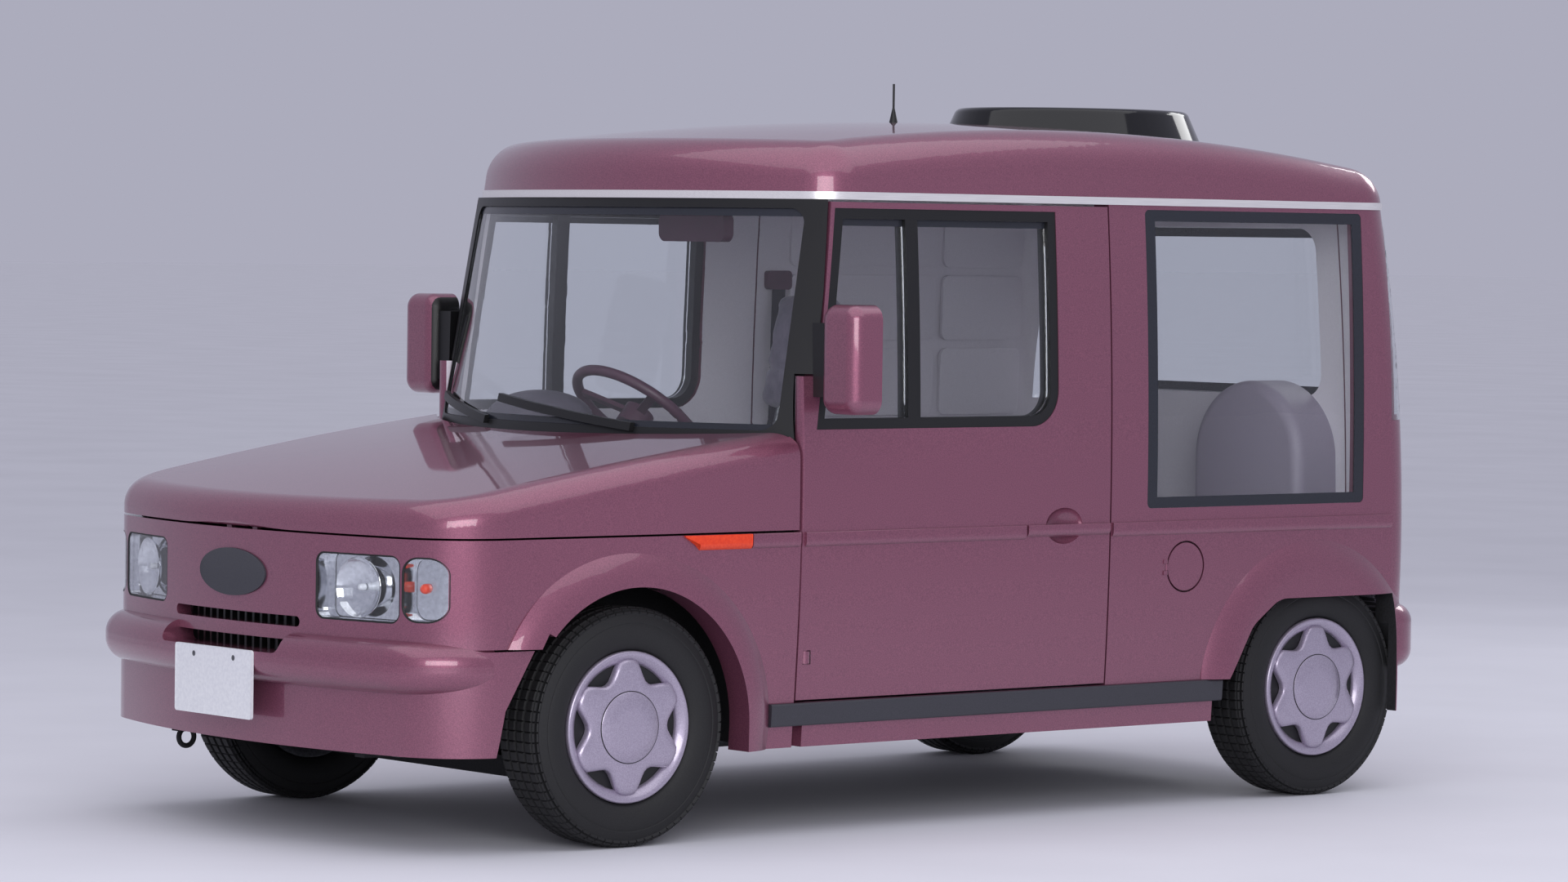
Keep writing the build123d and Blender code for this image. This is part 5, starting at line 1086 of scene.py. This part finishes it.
# %% Tailgate handle
GRIP_LOW, GRIP_HIGH = (-0.245, 1.636, 0.740), (0.245, 1.664, 0.776)
grip = add_box("tailgate_handle", GRIP_LOW, GRIP_HIGH)
bevel(grip, lambda c, e: c.y > GRIP_HIGH[Y] - HAIR, 0.010, segments=5)
inset(grip, lambda c, f: f.normal.z < -FACING, 0.006, -0.010)
smooth(grip, 45)
dress(grip, "rear_gate", "body_paint", body_paint)

# %% Mirrors
# the shell starts outside the arm, its silvered face lies near this depth, and the foot ends at FOOT_X
SHELL_X, SILVER_Y, FOOT_X = 0.80, -0.40, 0.812
SILVER_RANGE = (-0.402, -0.399)
mirror = merged(node_copy("mirror_left", "door_mirror_left"))
inset(
    mirror, lambda c, f: f.normal.y > FACING and c.x > SHELL_X and c.y > SILVER_Y, 0.009, -0.004
)
smooth(mirror, 30)
coat(mirror, body_paint, black_trim, mirror_glass)
for face in mirror.data.polygons:
    at = face.center
    silvered = face.normal.y > FACING and SILVER_RANGE[0] < at.y < SILVER_RANGE[1] and at.x > SHELL_X
    face.material_index = 2 if silvered else int(at.x < FOOT_X)
twin = copied(mirror, "door_mirror_right", MIRROR_X)
for side, piece in (("left", mirror), ("right", twin)):
    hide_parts(f"mirror_{side}")
    dress(piece, f"{side}_door", "body_paint")
print("badge, plates, handle and mirrors made")

# %% [markdown]
# Seats
#
# A seat is foam in a sewn cloth cover. Each pad starts a little too small, is remeshed evenly, and is then
# blown up by the cloth simulation under a light pressure, which rounds it and pulls its sides in. The sewn
# channels are pressed in afterwards, along lines across the pad. The two seats stand on moulded risers, and
# the driver's back carries a tall head restraint, because the photograph has a dark rounded shape there.

# %% Pads
PAD_VOXEL, PAD_SWELL = 0.010, 0.022
SWELL_FRAMES = 20


def swell(piece):
    """Blows up a closed piece like a stuffed cover; no point moves further than PAD_SWELL."""
    only(piece)
    piece.data.remesh_voxel_size = PAD_VOXEL
    bpy.ops.object.voxel_remesh()
    start = [vertex.co.copy() for vertex in piece.data.vertices]
    stuffing = piece.modifiers.new("stuffing", "CLOTH")
    stuffing.settings.quality = 5
    stuffing.settings.use_pressure = True
    stuffing.settings.uniform_pressure_force = 4
    stuffing.settings.effector_weights.gravity = 0
    for moment in range(1, SWELL_FRAMES + 1):
        scene.frame_set(moment)
    bpy.ops.object.modifier_apply(modifier=stuffing.name)
    scene.frame_set(1)
    for vertex, first in zip(piece.data.vertices, start):
        step = vertex.co - first
        if step.length > PAD_SWELL:
            vertex.co = first + step * (PAD_SWELL / step.length)
    apply_modifier(piece, "SUBSURF", levels=1, render_levels=1)


def sew(piece, away, deep=0.009, wide=0.008):
    """Presses a sewn channel into a pad; away gives a point's distance from the seam."""
    facing = [vertex.normal.copy() for vertex in piece.data.vertices]
    for vertex, normal in zip(piece.data.vertices, facing):
        vertex.co -= normal * deep * math.exp(-((away(vertex.co) / wide) ** 2))


def pad(name, low, high, round_off, seams, there):
    """A swollen pad with its seams, modelled upright at the origin and then put in its place."""
    form = add_box(name, low, high)
    bevel(form, every, round_off, segments=4)
    swell(form)
    for away in seams:
        sew(form, away)
    placed = copied(form, name, there)
    discard(form)
    placed.name = placed.data.name = name
    smooth(placed, 80)
    return dress(placed, "shell", "seat_cloth", seat_cloth)


# %% Seats on their risers
SEAT_X, SEAT_HALF = 0.365, 0.222
CUSHION_Y, CUSHION_Z, CUSHION_LONG, CUSHION_HALF = -0.138, 0.415, 0.450, 0.062
BACK_Y, BACK_Z = 0.272, 0.452
BACK_LEAN = Matrix.Rotation(math.radians(-12.5), 4, "X")
# front and rear face of a back, and its foot and top along its lean
BACK_DEPTH, BACK_RISE = (-0.050, 0.048), (0.02, 0.492)
RISER_HALF, RISER_Y, RISER_Z = 0.17, (-0.09, 0.23), (0.2465, 0.372)
# distance from every seam that a point on the far side of a pad is taken to have
FAR = 1.0
bolsters = [lambda c, at=at: abs(c.x - at) for at in (-0.140, 0.140)]
cross_seams = [lambda c, at=at: abs(c.y - at) if c.z > 0 else FAR for at in (0.10, 0.22, 0.34)]
rise_seams = [lambda c, at=at: abs(c.z - at) if c.y < 0 else FAR for at in (0.14, 0.26, 0.38)]
for side, name in SIDES:
    middle = side * SEAT_X
    low, high = (-SEAT_HALF, 0, -CUSHION_HALF), (SEAT_HALF, CUSHION_LONG, CUSHION_HALF)
    there = Matrix.Translation((middle, CUSHION_Y, CUSHION_Z))
    pad(f"seat_cushion_{name}", low, high, 0.040, bolsters + cross_seams, there)
    low, high = zip((-SEAT_HALF, SEAT_HALF), BACK_DEPTH, BACK_RISE)
    there = Matrix.Translation((middle, BACK_Y, BACK_Z)) @ BACK_LEAN
    pad(f"seat_back_{name}", low, high, 0.038, bolsters + rise_seams, there)
    low, high = zip((middle - RISER_HALF, middle + RISER_HALF), RISER_Y, RISER_Z)
    riser = add_box(f"seat_riser_{name}", low, high)
    bevel(riser, lambda c, e: runs_along(e, Z), 0.03, segments=5)
    inset(riser, lambda c, f: f.normal.y < -FACING, 0.015, -0.006)
    smooth(riser, 40)
    dress(riser, "shell", "cabin_plastic", dash_plastic)
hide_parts("front_seats")

# %% Driver's head restraint
REST_HALF, REST_DEPTH, REST_RISE = 0.108, (-0.040, 0.036), (0.555, 0.872)
REST_SEAM = 0.66
POST = ((0.45, 0.005), (0.47, 0.006), (0.57, 0.006), (0.59, 0.005))
POST_X = 0.055
nape = Matrix.Translation((-SEAT_X, BACK_Y, BACK_Z)) @ BACK_LEAN
low, high = zip((-REST_HALF, REST_HALF), REST_DEPTH, REST_RISE)
rest_seams = [lambda c: abs(c.z - REST_SEAM) if c.y < 0 else FAR]
pad("head_restraint", low, high, 0.030, rest_seams, nape)
for side in (-1, 1):
    post = turned(f"restraint_post_{side + 1}", POST, (side * POST_X, 0, 0), axis="Z", steps=16)
    placed = copied(post, f"restraint_post_{side + 1}_set", nape)
    discard(post)
    smooth(placed, 50)
    dress(placed, "shell", "steel", steel)
print("seats made")

# %% [markdown]
# Dashboard, inner wall and belts
#
# Through the windscreen the photograph shows the hooded dials, and through the door glass it shows the far
# wall, which is lined with moulded panels between ribs. The dials sit in a hood whose face is sliced flat.
# Each lining panel is a thin bevelled block that leans with the wall.

# %% Dial hood
HOOD, HOOD_HALF = (-0.380, -0.435, 0.975), (0.165, 0.130, 0.078)
HOOD_FACE_Y, HOOD_FOOT_Z = -0.372, 0.958
hood = add_ball("dial_hood", HOOD, HOOD_HALF)
slice_across(hood, [(Y, HOOD_FACE_Y)], use_fill=True, clear_outer=True)
slice_across(hood, [(Z, HOOD_FOOT_Z)], use_fill=True, clear_inner=True)
inset(hood, lambda c, f: f.normal.y > FACING, 0.010, -0.016)
smooth(hood, 35)
coat(hood, dash_plastic, dial_print)
for face in hood.data.polygons:
    face.material_index = int(face.normal.y > FACING and face.center.y < HOOD_FACE_Y - 0.008)
dress(hood, "shell", "cabin_plastic")
DIAL = (
    (0.0, 0.032), (0.002, 0.032), (0.0025, 0.029), (0.0012, 0.0285), (0.0010, 0.004), (0.0032, 0.0035),
    (0.0034, 0.001),
)
DIAL_Y, DIAL_Z = -0.3885, 0.992
for at in (-0.445, -0.375, -0.310):
    dial = turned(f"dial_{round(-at * 1000)}", DIAL, (at, DIAL_Y, DIAL_Z), axis="Y", steps=32)
    smooth(dial, 40)
    dress(dial, "shell", "cabin_plastic", plum_moulding)

# %% Air vents across the dashboard
VENT_WIDE, VENT_Y, VENT_Z = 0.12, (-0.338, -0.322), (0.880, 0.940)
SLATS, SLAT_PITCH, SLAT_MARGIN = 4, 0.0115, 0.004
SLAT_Y, SLAT_Z = (-0.334, -0.324), (0.8895, 0.8925)
for at in (-0.12, 0.02, 0.50):
    low, high = zip((at, at + VENT_WIDE), VENT_Y, VENT_Z)
    vent = add_box("vent_case", low, high)
    bevel(vent, lambda c, e: runs_along(e, Y), 0.008, segments=3)
    inset(vent, lambda c, f: f.normal.y > FACING, 0.005, -0.010)
    slats = []
    for step in range(SLATS):
        rise = SLAT_PITCH * step
        ends = (at + SLAT_MARGIN, at + VENT_WIDE - SLAT_MARGIN)
        low, high = zip(ends, SLAT_Y, [z + rise for z in SLAT_Z])
        slat = add_box(f"slat_{step}", low, high)
        bevel(slat, lambda c, e: c.y > SLAT_Y[1] - HAIR, 0.001, segments=2)
        slats.append(slat)
    vent = joined([vent] + slats, f"air_vent_{round((at + 0.2) * 1000)}")
    smooth(vent, 35)
    dress(vent, "shell", "cabin_plastic", black_trim)

# %% Lining panels on the wall without a window
WALL_FOOT, WALL_LEAN = Vector((-0.702, 0, 0.742)), 0.028 / 0.809
PANEL_ROWS = ((0.500, 0.940), (0.962, 1.150), (1.174, 1.355), (1.379, 1.525))
PANEL_COLUMNS = ((0.640, 1.172), (1.200, 1.500))
PANEL_X = (-0.004, 0.005)
panels = []
for row, heights in enumerate(PANEL_ROWS):
    for column, ends in enumerate(PANEL_COLUMNS):
        low, high = zip(PANEL_X, ends, heights)
        panel = add_box(f"panel_{row}_{column}", low, high)
        bevel(panel, lambda c, e: runs_along(e, X), 0.022, segments=5)
        inset(panel, lambda c, f: f.normal.x > FACING, 0.008, 0.002)
        for vertex in panel.data.vertices:
            vertex.co.x += WALL_FOOT.x + (vertex.co.z - WALL_FOOT.z) * WALL_LEAN
        panels.append(panel)
lining = joined(panels, "wall_lining_right")
smooth(lining, 35)
dress(lining, "shell", "cabin_plastic", cabin_plastic)

# %% Belts on the door pillars
BELT_TOP_Z, BELT_FOOT_Z, BELT_Y = 1.330, 0.480, 0.595
# how far inside the wall the webbing lies, and the anchor and the reel
WEBBING_IN, FITTING_IN = 0.010, 0.006


def wall_x(z):
    """Distance of the inner wall from the middle of the car at a height."""
    return -(WALL_FOOT.x + (z - WALL_FOOT.z) * WALL_LEAN)


def belt_block(name, across, half, foot, top):
    """A block on the belt's line, between two distances from the wall and two heights."""
    low, high = zip(across, (BELT_Y - half, BELT_Y + half), (foot, top))
    return add_box(name, low, high)


webbing = belt_block("webbing", (-0.001, 0.001), 0.023, BELT_FOOT_Z, BELT_TOP_Z)
bevel(webbing, lambda c, e: runs_along(e, Z), 0.0006, segments=2)
choose(webbing, "EDGE", every)
bpy.ops.mesh.subdivide(number_cuts=3)
close_edit()
for vertex in webbing.data.vertices:
    vertex.co.x += wall_x(vertex.co.z) - WEBBING_IN
anchor = belt_block("anchor", (-0.010, 0.010), 0.042, BELT_TOP_Z - 0.016, BELT_TOP_Z + 0.036)
bevel(anchor, lambda c, e: runs_along(e, X), 0.012, segments=4)
reel = belt_block("reel", (-0.030, 0.012), 0.045, BELT_FOOT_Z - 0.070, BELT_FOOT_Z + 0.030)
bevel(reel, lambda c, e: c.x < 0 or runs_along(e, X), 0.008, segments=3)
for piece, height in ((anchor, BELT_TOP_Z), (reel, BELT_FOOT_Z)):
    for vertex in piece.data.vertices:
        vertex.co.x += wall_x(height) - FITTING_IN
for piece, finish in ((webbing, belt_webbing), (anchor, plum_moulding), (reel, cabin_plastic)):
    smooth(piece, 35)
    coat(piece, finish)
belt = joined([webbing, anchor, reel], "belt")
for piece, carrier in both_sides(belt, "seat_belt", "shell"):
    dress(piece, carrier, "cabin_plastic")
print("cabin made")
